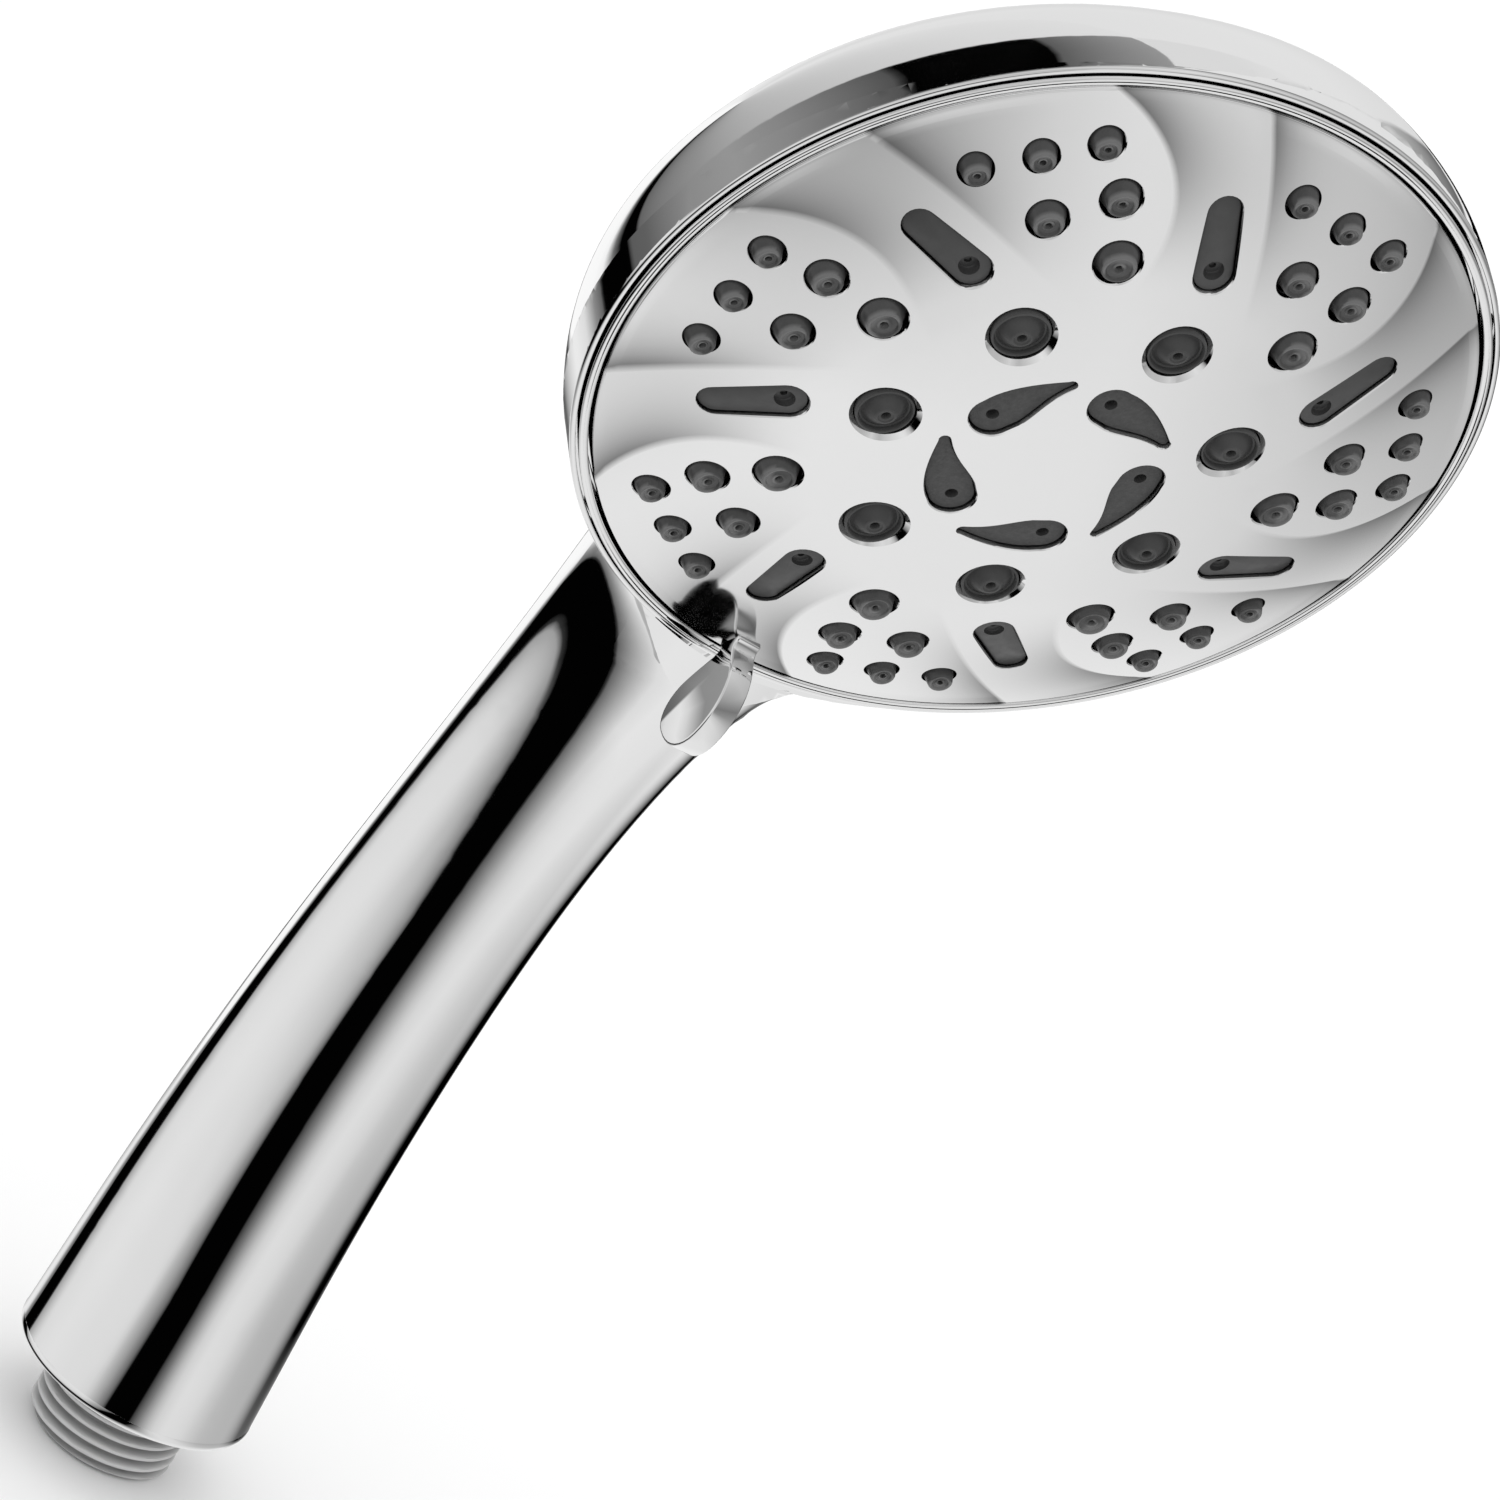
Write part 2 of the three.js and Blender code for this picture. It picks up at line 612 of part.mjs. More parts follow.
function distributorDisc() {
  const disc = rod(DISC_R, DISC_BACK, DISC_FRONT, 32);
  const bore = rod(JOURNAL_R + SLACK + 0.04, -PAST, PAST, 24);
  const counterbore = rod(COUNTERBORE_R, WASHER_Z - GAP, PAST, 20);
  const ways = Array.from({ length: DETENTS }, (_, i) => {
    const channel = CHANNELS[i % CHANNELS.length];
    const goal = (channel.inner + channel.outer) / 2;
    const [low, high] = [Math.min(PORT_R, goal), Math.max(PORT_R, goal)];
    const slot = block(low - 1, high + 1, -1.4, 1.4, DISC_FRONT - 1.2, PAST);
    const port = placed(rod(2.2, -PAST, PAST, 10), [PORT_R, 0]);
    return slot.add(port).rotate([0, 0, portAngle(i)]);
  });
  const dimples = Array.from({ length: DETENTS }, (_, i) => {
    const dimple = turned([[0, DISC_BACK + 0.7], [1.5, DISC_BACK], [1.5, -PAST], [0, -PAST]], 8);
    return placed(dimple, [DETENT_R, 0]).rotate([0, 0, DETENT_ANGLE + (i - 3) * DETENT_PITCH + 10]);
  });
  return cutAll(disc, [bore, counterbore, ...ways, ...dimples]);
}

const faceSeal = () => seal(FACE_SEAL_R, 0.5, SPRAY_BACK + 0.4, 28);

// Side view of the lever: a foot in the plate's edge, a thumb fin that rises in front of the rim.
function selectorLever() {
  const profile = new THREE.Shape();
  profile.moveTo(LEVER_FOOT_R, -2.8);
  profile.lineTo(50.5, -2.8);
  profile.lineTo(50.5, 0.6);
  profile.bezierCurveTo(51.5, 1.3, 54.5, 0.9, 57.5, 1.5);
  profile.bezierCurveTo(60.4, 2.2, 61.9, 4, 61.7, 5.8);
  profile.bezierCurveTo(61.4, 8.4, 59.8, 9.9, 57.4, 9.8);
  profile.bezierCurveTo(53.5, 9.4, 49.6, 7, 48.9, 2.6);
  profile.lineTo(LEVER_FOOT_R, 0.4);
  const options = { depth: LEVER_T, curveSegments: 5, bevelEnabled: false };
  const g = new THREE.ExtrudeGeometry(profile, options).translate(0, 0, -LEVER_T / 2);
  return solid(g.rotateX(Math.PI / 2)).rotate([0, 0, -LEVER_ANGLE]);
}

// ---------- assembly ----------

function named(name, body, material) {
  const mesh = new THREE.Mesh(geometryOf(body), new THREE.MeshStandardMaterial(MATERIALS[material]));
  mesh.name = name;
  return mesh;
}

const shower = new THREE.Group();
shower.add(
  named("body_shell", bodyShell(), "chrome"),
  named("handle_core", handleCore(), "greyPlastic"),
  named("end_o_ring", bentSeal(12.4, 0.6, 13.7), "rubber"),
  named("filter_screen", filterScreen(), "steel"),
  named("restrictor_o_ring", seal(5.8, 0.6, 10.6, 20), "rubber"),
  named("flow_restrictor", flowRestrictor(), "greyPlastic"),
  named("core_o_ring", bentSeal(5.3, 0.45, CORE_TOP_Z - 7.25), "rubber"),
  named("inlet_elbow", inletElbow(), "whitePlastic"),
);

const head = new THREE.Group();
head.applyMatrix4(headMatrix);
head.add(
  named("rim_bezel", rimBezel(), "chrome"),
  named("manifold", manifoldPlate(), "whitePlastic"),
  named("port_seal", portSeal(), "rubber"),
  named("port_spring", portSpring(), "steel"),
  named("detent_ball", detentBall(), "steel"),
  named("detent_spring", detentSpring(), "steel"),
  named("spindle_screw", spindleScrew(), "steel"),
  named("thrust_washer", thrustWasher(), "steel"),
  named("spindle_o_ring", spindleSeal(), "rubber"),
  named("face_plate", facePlate(), "satinChrome"),
  named("selector_lever", selectorLever(), "chrome"),
  named("nozzle_mat", nozzleMat(), "silicone"),
  named("spray_plate", sprayPlate(), "whitePlastic"),
  named("distributor_disc", distributorDisc(), "whitePlastic"),
  named("face_o_ring", faceSeal(), "rubber"),
);
SCREW_ANGLES.forEach((angle, i) => {
  head.add(named(`manifold_screw_${i + 1}`, manifoldScrew(angle), "steel"));
});
mistPlaces().forEach((at, i) => {
  head.add(named(`mist_insert_${i + 1}`, mistInsert(at), "silicone"));
});
shower.add(head);

export default shower;
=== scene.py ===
"""Looks of the handheld shower head: smooth chrome skin, satin spray face, silicone nozzles, threaded inlet.

Lengths in this file are millimetres in the CAD frame, or in the head's own frame (X right, Y away from
the handle, Z out of the spray face), and become metres only where a mesh is made.
"""

import math

import bmesh
import bpy
import numpy as np
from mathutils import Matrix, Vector


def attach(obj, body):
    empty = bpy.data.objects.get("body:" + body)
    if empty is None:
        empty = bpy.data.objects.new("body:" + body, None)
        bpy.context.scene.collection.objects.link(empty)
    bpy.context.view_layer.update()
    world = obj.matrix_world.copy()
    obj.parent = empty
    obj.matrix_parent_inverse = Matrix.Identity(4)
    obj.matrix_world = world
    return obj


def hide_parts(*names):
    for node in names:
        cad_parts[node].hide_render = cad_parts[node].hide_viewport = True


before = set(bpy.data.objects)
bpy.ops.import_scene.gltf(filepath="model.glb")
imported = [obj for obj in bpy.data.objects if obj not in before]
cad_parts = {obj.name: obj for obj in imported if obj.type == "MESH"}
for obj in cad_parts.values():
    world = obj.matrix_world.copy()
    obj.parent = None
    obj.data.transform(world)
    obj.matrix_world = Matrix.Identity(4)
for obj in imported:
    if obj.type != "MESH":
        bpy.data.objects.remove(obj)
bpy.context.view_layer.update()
MM = 0.001

# ---------- driving dimensions, the same as the CAD's ----------

HANDLE_END_Z = 10.9
HANDLE_END_R = 17.0
HANDLE_NECK_R = 13.1
TAPER_TOP_Z = 100
TAPER_BLEND = 15  # length over which the taper eases into the straight neck
NECK_Z = 150
NOSE_LENGTH = 55
BOW_START_Z = 30
BOW_R = 370
SWAN_START_Z = 140
SWAN = 0.0025
HEAD_TILT = math.radians(22)
HEAD_ORIGIN = np.array([0, -63.7, 198.1])
FACE_R = 50.7
FACE_BULGE = 8.7
PLATE_T = 1.6
SKIRT_INNER_R = 49.2
SKIRT_DEPTH = 3.4
BEZEL_INNER_R = 51.0
BEZEL_OUTER_R = 52.1
BEZEL_DEPTH = 3.7
BAND_R = 53.1
BAND_FRONT = -0.5
BACK_TILT = math.radians(5)
BACK_PLANE = -5.5
BACK_DEPTH = 23
BACK_POWER = 2.7
BACK_STEEPNESS = 20.7  # keeps the dome's field near true distance
BACK_LEAN = 0.08  # slope at which the dome leaves the band
SHELL_T = 2.6
GAP = 0.3
MAT_GAP = 1.9
MAT_T = 1.2
MAT_R = 47

THREAD_CREST_R = 10.48
THREAD_ROOT_R = 9.32
THREAD_PITCH = 1.814
THREAD_LENGTH = 10.85
LEAD_IN = 0.4  # height of the chamfer below the thread
INLET_BORE_R = 7
CORE_FLANGE_R = 13.2
CORE_GROOVE_R = 11.6
CORE_TUBE_R = 8
CORE_BORE_R = 3.9
SPIGOT_R = 5.8
SPIGOT_Z = 148
CORE_TOP_Z = 166

PETALS = 7
SECTOR = 360 / PETALS
# (radius on the face, clockwise angle in degrees of the first copy, foot radius)
PETAL_NOZZLES = [
    (30.2, -112.9, 2.5), (35.7, -127.5, 2.15), (38.0, -115.2, 2.15),
    (43.0, -137.6, 1.8), (43.3, -128.1, 1.8), (44.4, -118.9, 1.8),
]
SLOT_R = 34.9
SLOT_ANGLE = -94.6
SLOT_LENGTH = 12
SLOT_WIDTH = 4
SLOT_SKEW = -24
TEARDROPS = 5
DROP_R = 11.3
DROP_ANGLE = -161.3
DROP_TAIL_R = 13.3
DROP_TAIL_ANGLE = -116.8
DROP_WIDTH = 5
MIST_R = 21
MIST_ANGLE = -135.9
MIST_OUTER_R = 3.4
LEVER_ANGLE = 98
LEVER_T = 3.6

# ---------- dimensions of the looks ----------

RING_SEGMENTS = 288
NECK_FILLET = 24
NECK_EASE = 5  # how softly the neck flattens out in front, below the rim
LIP_GAP = 0.3  # dark line between the bezel and the shell
LIP_SEAT = -1.0  # the skin is cut off here, and the rounded lip ring goes on top
LIP_CUT_R = 54.6
HEAD_SIDE_Y = -75  # nothing above this, in the head's frame, may pass the lip's plane
HOLLOW_FRONT = -3  # the hollow behind the spray face reaches this far forward
POCKET_BACK = -4.4  # the wider pocket for the bezel starts here
SKIN_FRONT = 3  # how far forward the skin is contoured before it is cut
SKIN_CELL = 1.3
SKIN_LOW = (-56.3, -109, 8.3)
SKIN_HIGH = (56.3, 21, 252)
HOLLOW_CELL = 1.7
HOLLOW_LOW = (-54, -107, -3.1)
HOLLOW_HIGH = (54, 18, 250)
CREASE_SNAP = 0.2  # vertices nearer to the crease than this are put on it
CORNER_PULL = 0.1  # a corner's normal is taken this share of the way to its face's centre
CORNER_STEP = 0.002
END_RING = 1.5  # height of the separate rounded ring at the thread end

PETAL_DEPTH = 0.42
PETAL_EYE = 0.12  # share of the depth that a petal's inner end has
PETAL_START = -7.9  # degrees from the large nozzle to the stepped side, inside PETAL_START_R
PETAL_START_R = 25.6
PETAL_START_SWEEP = 28.6
PETAL_END = 8  # degrees to the other side at PETAL_END_R, from which it sweeps back outward
PETAL_END_R = 33.6
PETAL_END_SWEEP = 13.4
STEP_WALL = 0.9  # width of the slope at a step
SHADE_WIDTH = 4.5  # how far the darker shade beside a step reaches on a petal
GAP_SHADE_WIDTH = 7

HOLE_EDGE = 0.16  # chamfer round the holes in the plate
MIST_HOLE_EDGE = 0.55
NOZZLE_CLEARANCE = 0.3
NOZZLE_HEIGHT = 1.08  # above the plate
NOZZLE_TIP = 0.74  # radius of the tip as a share of the foot's
PLUG_BACK = -2.2
SLOT_TAPER = 0.18
SLOT_HOLE_OUT = 3.7  # from the slot's middle to its spray hole
DROP_HOLE_R = 0.75
TUBE_RINGS = 16

CAMERA_AT = (-340.477, -582.694, 345.728)
CAMERA_TURN = (69.339, -29.903, -21.892)  # degrees
CAMERA_LENS = 135.02
ROOM_LIGHT = 1.22

# ---------- shape of the skin, as distance fields ----------


def smoothstep(a, b, x):
    t = np.clip((x - a) / (b - a), 0, 1)
    return t * t * (3 - 2 * t)


def bow(z):
    """How far forward the handle's axis has curved at height z."""
    past = np.maximum(0, z - BOW_START_Z)
    swan = np.maximum(0, z - SWAN_START_Z)
    return -past**2 / (2 * BOW_R) - SWAN * swan**2


def bow_slope(z):
    return -np.maximum(0, z - BOW_START_Z) / BOW_R - 2 * SWAN * np.maximum(0, z - SWAN_START_Z)


def handle_radius(z):
    slope = (HANDLE_END_R - HANDLE_NECK_R) / (TAPER_TOP_Z - HANDLE_END_Z)
    left = TAPER_TOP_Z - z
    return HANDLE_NECK_R + slope * (left + np.sqrt(left**2 + TAPER_BLEND**2)) / 2


HEAD_AXES = np.array([
    [1, 0, 0],
    [0, -math.sin(HEAD_TILT), math.cos(HEAD_TILT)],
    [0, -math.cos(HEAD_TILT), -math.sin(HEAD_TILT)],
])


def to_head(points):
    return (points - HEAD_ORIGIN) @ HEAD_AXES.T


def to_row(points):
    return np.asarray(points, float) @ HEAD_AXES + HEAD_ORIGIN


def handle_field(p):
    """Curved tapered rod whose upper end rounds off inside the head."""
    x, y, z = p[..., 0], p[..., 1], p[..., 2]
    across = (y - bow(z)) * np.cos(np.arctan(bow_slope(z)))
    radius = handle_radius(z)
    from_axis = np.sqrt(x * x + across * across)
    nose = np.maximum(0, z - NECK_Z) / NOSE_LENGTH
    return (np.sqrt((from_axis / radius) ** 2 + nose**2) - 1) * radius


def back_depth(h):
    """Distance behind the tilted plane where the band ends and the domed back starts."""
    return h[..., 1] * math.sin(BACK_TILT) - (h[..., 2] - BACK_PLANE) * math.cos(BACK_TILT)


def back_shape(h):
    """Superellipse dome behind the tilted plane."""
    z = h[..., 2] - BACK_PLANE
    deep = np.maximum(back_depth(h), 0)
    up = h[..., 1] * math.cos(BACK_TILT) + z * math.sin(BACK_TILT)
    radius = np.hypot(h[..., 0], up * math.cos(BACK_TILT))
    radius = radius + BACK_LEAN * deep * np.clip(1 - deep / BACK_DEPTH, 0, 1)
    power = (radius / BAND_R) ** BACK_POWER + (deep / BACK_DEPTH) ** BACK_POWER
    return (power ** (1 / BACK_POWER) - 1) * BACK_STEEPNESS


def back_field(h):
    return np.maximum(back_shape(h), -back_depth(h) - GAP)


def band_field(h):
    wall = np.hypot(h[..., 0], h[..., 1]) - BAND_R
    return np.maximum(wall, back_depth(h))


def smooth_union(a, b, reach):
    share = np.clip(reach - np.abs(a - b), 0, None) / reach
    return np.minimum(a, b) - share**3 * reach / 6


def skin_field(p, front_inside=SKIN_FRONT):
    """Head and handle as one form, without the flat end at the thread."""
    h = to_head(p)
    head = np.minimum(back_field(h), band_field(h))
    whole = smooth_union(head, handle_field(p), NECK_FILLET)
    radius = np.hypot(h[..., 0], h[..., 1])
    front = h[..., 2] - np.where(radius < LIP_CUT_R - 0.8, front_inside, LIP_SEAT)
    ease = 0.01 + NECK_EASE * smoothstep(LIP_CUT_R, LIP_CUT_R + 5, radius)
    return np.where(h[..., 1] > HEAD_SIDE_Y, -smooth_union(-whole, -front, ease), whole)


def gradient(field, p, step=0.02):
    """Unit vectors along which the field grows fastest."""
    slope = np.empty(p.shape)
    for axis in range(3):
        shift = np.zeros(3)
        shift[axis] = step
        slope[..., axis] = field(p + shift) - field(p - shift)
    length = np.linalg.norm(slope, axis=-1, keepdims=True)
    return slope / np.maximum(length, 1e-12)


# ---------- mesh making ----------


def edge_crossings(field, corners, axis, cell, low_inside):
    """Points where the field is zero on the grid edges that start at these corners."""
    start = corners.copy()
    end = corners.copy()
    end[:, axis] += cell
    for _ in range(14):
        middle = (start + end) / 2
        same = (field(middle) < 0) == low_inside
        start[same] = middle[same]
        end[~same] = middle[~same]
    return (start + end) / 2


def cell_vertices(ids, points, normals, centres, cell):
    """One vertex per cell: the point nearest to all the tangent planes that cross the cell."""
    count = np.bincount(ids)

    def total(values):
        return np.bincount(ids, values, len(count))

    mean = np.stack([total(points[:, a]) for a in range(3)], -1) / count[:, None]
    offset = np.einsum("ij,ij->i", normals, points - mean[ids])
    matrix = np.empty((len(count), 3, 3))
    for a in range(3):
        for b in range(3):
            matrix[:, a, b] = total(normals[:, a] * normals[:, b])
    matrix += 0.01 * count[:, None, None] * np.eye(3)
    goal = np.stack([total(normals[:, a] * offset) for a in range(3)], -1)
    found = mean + np.linalg.solve(matrix, goal[..., None])[..., 0]
    return centres + np.clip(found - centres, -0.7 * cell, 0.7 * cell)


def settle(field, points, most=0.12):
    """Moves points onto the field's zero surface, by a small distance at most."""
    for _ in range(3):
        away = np.clip(field(points), -most, most)
        points = points - away[:, None] * gradient(field, points)
    return points


def contour(field, low, high, cell):
    """Quad mesh of the field's zero surface that keeps sharp edges (dual contouring)."""
    axes = [np.arange(a, b + cell, cell) for a, b in zip(low, high)]
    grid = np.stack(np.meshgrid(*axes, indexing="ij"), -1)
    shape = grid.shape[:3]
    inside = field(grid) < 0
    ids, points, normals, quads = [], [], [], []
    for axis in range(3):
        near = tuple(slice(0, -1) if a == axis else slice(1, None) for a in range(3))
        far = tuple(slice(1, None) for _ in range(3))
        edges = np.argwhere(inside[near] != inside[far])
        edges += [0 if a == axis else 1 for a in range(3)]
        corners = grid[tuple(edges.T)]
        low_inside = inside[tuple(edges.T)]
        crossing = edge_crossings(field, corners, axis, cell, low_inside)
        b, c = np.eye(3, dtype=int)[(axis + 1) % 3], np.eye(3, dtype=int)[(axis + 2) % 3]
        around = np.stack([edges, edges - b, edges - b - c, edges - c], 1)
        around[~low_inside] = around[~low_inside][:, ::-1]
        numbers = np.ravel_multi_index(tuple(np.moveaxis(around, -1, 0)), shape)
        quads.append(numbers)
        ids.append(numbers.ravel())
        points.append(np.repeat(crossing, 4, 0))
        normals.append(np.repeat(gradient(field, crossing), 4, 0))
    used, compact = np.unique(np.concatenate(ids), return_inverse=True)
    first = np.stack(np.unravel_index(used, shape), -1)
    centres = grid[tuple(first.T)] + cell / 2
    vertices = cell_vertices(
        compact.ravel(), np.concatenate(points), np.concatenate(normals), centres, cell
    )
    return settle(field, vertices), np.searchsorted(used, np.concatenate(quads))


def make_object(name, vertices, faces):
    """A mesh object from points in millimetres."""
    mesh = bpy.data.meshes.new(name)
    mesh.from_pydata((np.asarray(vertices) * MM).tolist(), [], np.asarray(faces, dtype=object).tolist())
    mesh.update()
    obj = bpy.data.objects.new(name, mesh)
    bpy.context.scene.collection.objects.link(obj)
    return obj


def lathe(profile, segments, place=lambda points: points):
    """Vertices and faces of a closed profile of (radius, height) turned round Z; radius 0 makes a pole."""
    turns = [2 * math.pi * k / segments for k in range(segments)]
    vertices, rings = [], []
    for r, z in profile:
        start = len(vertices)
        if r == 0:
            rings.append([start] * segments)
            vertices.append((0, 0, z))
        else:
            rings.append(range(start, start + segments))
            vertices.extend((r * math.cos(a), r * math.sin(a), z) for a in turns)
    faces = []
    for below, above in zip(rings, rings[1:] + rings[:1]):
        for k in range(segments):
            n = (k + 1) % segments
            loop = list(dict.fromkeys([below[k], below[n], above[n], above[k]]))
            if len(loop) > 2:
                faces.append(loop)
    return place(np.array(vertices, float)), faces


def loft(rings, count, ends="open"):
    """Faces between rings of count vertices each; the ends are open, capped or joined to each other."""
    faces = []
    for ring in range(rings if ends == "joined" else rings - 1):
        low = ring * count
        high = (ring + 1) % rings * count
        faces += [[low + k, low + (k + 1) % count, high + (k + 1) % count, high + k] for k in range(count)]
    if ends == "capped":
        last = (rings - 1) * count
        faces += [list(range(count))[::-1], list(range(last, last + count))]
    return faces


def joined(parts):
    """Several (vertices, faces) as one."""
    vertices, faces, start = [], [], 0
    for part_vertices, part_faces in parts:
        vertices.append(np.asarray(part_vertices, float))
        faces.extend([[start + i for i in face] for face in part_faces])
        start += len(part_vertices)
    return np.concatenate(vertices), faces


def head_object(name, parts):
    """One object from several (vertices, faces) in the head's frame."""
    vertices, faces = joined(parts)
    return make_object(name, to_row(vertices), faces)


def boolean(obj, tool, operation):
    """Applies a boolean with another object, which is removed."""
    modifier = obj.modifiers.new("cut", "BOOLEAN")
    modifier.operation = operation
    modifier.object = tool
    modifier.solver = "MANIFOLD"
    bpy.context.view_layer.update()
    evaluated = obj.evaluated_get(bpy.context.evaluated_depsgraph_get())
    mesh = bpy.data.meshes.new_from_object(evaluated)
    obj.modifiers.clear()
    old = obj.data
    obj.data = mesh
    bpy.data.meshes.remove(old)
    bpy.data.objects.remove(tool)
    return obj


def smooth(obj, angle=35):
    """Smooth shading, with edges sharper than the angle kept sharp."""
    mesh = obj.data
    mesh.polygons.foreach_set("use_smooth", np.ones(len(mesh.polygons), bool))
    mesh.set_sharp_from_angle(angle=math.radians(angle))
    return obj


def fix_winding(obj):
    """Turns the faces outward."""
    mesh = bmesh.new()
    mesh.from_mesh(obj.data)
    bmesh.ops.recalc_face_normals(mesh, faces=mesh.faces)
    mesh.to_mesh(obj.data)
    mesh.free()


def soften(obj, width, segments, angle):
    """Rounds the edges sharper than the angle."""
    modifier = obj.modifiers.new("soften", "BEVEL")
    modifier.width = width * MM
    modifier.segments = segments
    modifier.limit_method = "ANGLE"
    modifier.angle_limit = math.radians(angle)
    bpy.context.view_layer.update()
    mesh = bpy.data.meshes.new_from_object(obj.evaluated_get(bpy.context.evaluated_depsgraph_get()))
    obj.modifiers.clear()
    obj.data = mesh


def read(collection, name, kind, width=1):
    """One property of all the items of a mesh collection, as an array."""
    values = np.empty(len(collection) * width, kind)
    collection.foreach_get(name, values)
    return values.reshape(-1, width) if width > 1 else values


def vertex_points(mesh):
    """The mesh's vertices in millimetres."""
    return read(mesh.vertices, "co", np.float32, 3) / MM


def paint(obj, name, values):
    """Stores a number from 0 to 1 on each vertex, for the material to read."""
    attribute = obj.data.attributes.new(name, "FLOAT", "POINT")
    attribute.data.foreach_set("value", values.astype(np.float32))


def follow_field(obj, field, reach=0.15):
    """Exact corner normals on the faces that lie on the field's surface, so that reflections are clean."""
    smooth(obj)
    mesh = obj.data
    points = vertex_points(mesh)
    vertex = read(mesh.loops, "vertex_index", np.int32)
    sizes = read(mesh.polygons, "loop_total", np.int32)
    flat = read(mesh.polygons, "normal", np.float32, 3)
    normals = read(mesh.corner_normals, "vector", np.float32, 3)
    face = np.repeat(np.arange(len(sizes)), sizes)
    centre = np.stack([np.bincount(face, points[vertex, a]) / sizes for a in range(3)], -1)
    near_corner = points[vertex] * (1 - CORNER_PULL) + centre[face] * CORNER_PULL
    exact = gradient(field, near_corner, CORNER_STEP)
    off_surface = np.bincount(face, np.abs(field(points[vertex])) > reach) > 0
    agree = np.einsum("ij,ij->i", exact, flat[face]) > 0.8
    use = agree & ~off_surface[face]
    normals[use] = exact[use]
    mesh.normals_split_custom_set(normals.tolist())
    return obj


def finish_piece(obj, body, slot, material, *nodes):
    obj.data.materials.clear()
    obj.data.materials.append(material)
    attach(obj, body)
    if nodes:
        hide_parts(*nodes)
    return obj


def bezier(points, count):
    """Points along one cubic or quadratic Bezier curve, without its start."""
    degree = len(points) - 1
    out = []
    for i in range(1, count + 1):
        t = i / count
        weights = [math.comb(degree, k) * t**k * (1 - t) ** (degree - k) for k in range(degree + 1)]
        out.append(tuple(sum(w * p[a] for w, p in zip(weights, points)) for a in range(2)))
    return out


def on_face(radius, clockwise):
    a = math.radians(clockwise)
    return radius * math.cos(a), -radius * math.sin(a)


def dome(radius):
    return FACE_BULGE * (1 - (radius / FACE_R) ** 2)


# ---------- materials ----------


def shader(name, colour, metallic, roughness, **sockets):
    """A Principled material; returns its node tree too."""
    material = bpy.data.materials.new(name)
    material.use_nodes = True
    node = material.node_tree.nodes["Principled BSDF"]
    node.inputs["Base Color"].default_value = colour
    node.inputs["Metallic"].default_value = metallic
    node.inputs["Roughness"].default_value = roughness
    for socket, value in sockets.items():
        node.inputs[socket.replace("_", " ")].default_value = value
    return material, material.node_tree, node


def noise(tree, scale, detail=3.0, stretch=(1, 1, 1)):
    """Noise in object space; scale counts features in a metre."""
    place = tree.nodes.new("ShaderNodeTexCoord")
    mapping = tree.nodes.new("ShaderNodeMapping")
    mapping.inputs["Scale"].default_value = stretch
    texture = tree.nodes.new("ShaderNodeTexNoise")
    texture.inputs["Scale"].default_value = scale
    texture.inputs["Detail"].default_value = detail
    tree.links.new(place.outputs["Object"], mapping.inputs["Vector"])
    tree.links.new(mapping.outputs["Vector"], texture.inputs["Vector"])
    return texture.outputs["Fac"]


def vary(tree, source, low, high, target):
    """Drives a socket from a texture, between two values."""
    node = tree.nodes.new("ShaderNodeMapRange")
    node.inputs["From Min"].default_value = 0.3
    node.inputs["From Max"].default_value = 0.7
    node.inputs["To Min"].default_value = low
    node.inputs["To Max"].default_value = high
    tree.links.new(source, node.inputs["Value"])
    tree.links.new(node.outputs["Result"], target)


def blend_colours(tree, share, first, second):
    """Mixes two colours, each a socket or an RGBA value; the share is a socket."""
    node = tree.nodes.new("ShaderNodeMix")
    node.data_type = "RGBA"
    for socket, value in ((node.inputs[0], share), (node.inputs[6], first), (node.inputs[7], second)):
        if isinstance(value, tuple):
            socket.default_value = value
        else:
            tree.links.new(value, socket)
    return node.outputs[2]


def tint(tree, source, first, second, target):
    """Drives a colour from a texture, between two colours."""
    tree.links.new(blend_colours(tree, source, first, second), target)


def painted(tree, name):
    """The number that the mesh stores on its vertices under this name."""
    node = tree.nodes.new("ShaderNodeAttribute")
    node.attribute_name = name
    return node.outputs["Fac"]


def bump(tree, source, strength, distance, node):
    """Surface relief from a texture; distance in millimetres."""
    relief = tree.nodes.new("ShaderNodeBump")
    relief.inputs["Strength"].default_value = strength
    relief.inputs["Distance"].default_value = distance * MM
    tree.links.new(source, relief.inputs["Height"])
    tree.links.new(relief.outputs["Normal"], node.inputs["Normal"])


def grey(value):
    """Opaque grey for a displayed value from 0 to 255."""
    return ((value / 255) ** 2.2,) * 3 + (1,)


def chrome_material():
    material, tree, node = shader("mirror_chrome", grey(250), 1, 0.03)
    vary(tree, noise(tree, 90, 5), 0.015, 0.045, node.inputs["Roughness"])
    tint(tree, noise(tree, 60, 4), grey(252), grey(247), node.inputs["Base Color"])
    bump(tree, noise(tree, 30, 2), 0.02, 0.01, node)
    return material


def satin_material():
    material, tree, node = shader("satin_chrome", grey(250), 1, 0.08)
    vary(tree, noise(tree, 700, 4), 0.06, 0.1, node.inputs["Roughness"])
    # Painted shade: the base colour darkens to mid grey by the shade painted on the plate's vertices, beside
    # the petal steps and down the hole walls.
    tint(tree, painted(tree, "painted_recess_shade"), grey(250), grey(120), node.inputs["Base Color"])
    bump(tree, noise(tree, 2500, 2), 0.006, 0.01, node)
    return material


def silicone_material():
    material, tree, node = shader("silicone", grey(64), 0, 0.36, Specular_IOR_Level=0.6)
    vary(tree, noise(tree, 900, 4), 0.3, 0.44, node.inputs["Roughness"])
    mottled = blend_colours(tree, noise(tree, 300, 4), grey(52), grey(66))
    # Painted highlight: the nozzle tips' top rims, stored on the vertices under the name edge, are tinted a
    # lighter grey.
    tint(tree, painted(tree, "edge"), mottled, grey(96), node.inputs["Base Color"])
    bump(tree, noise(tree, 3000, 3), 0.12, 0.03, node)
    return material


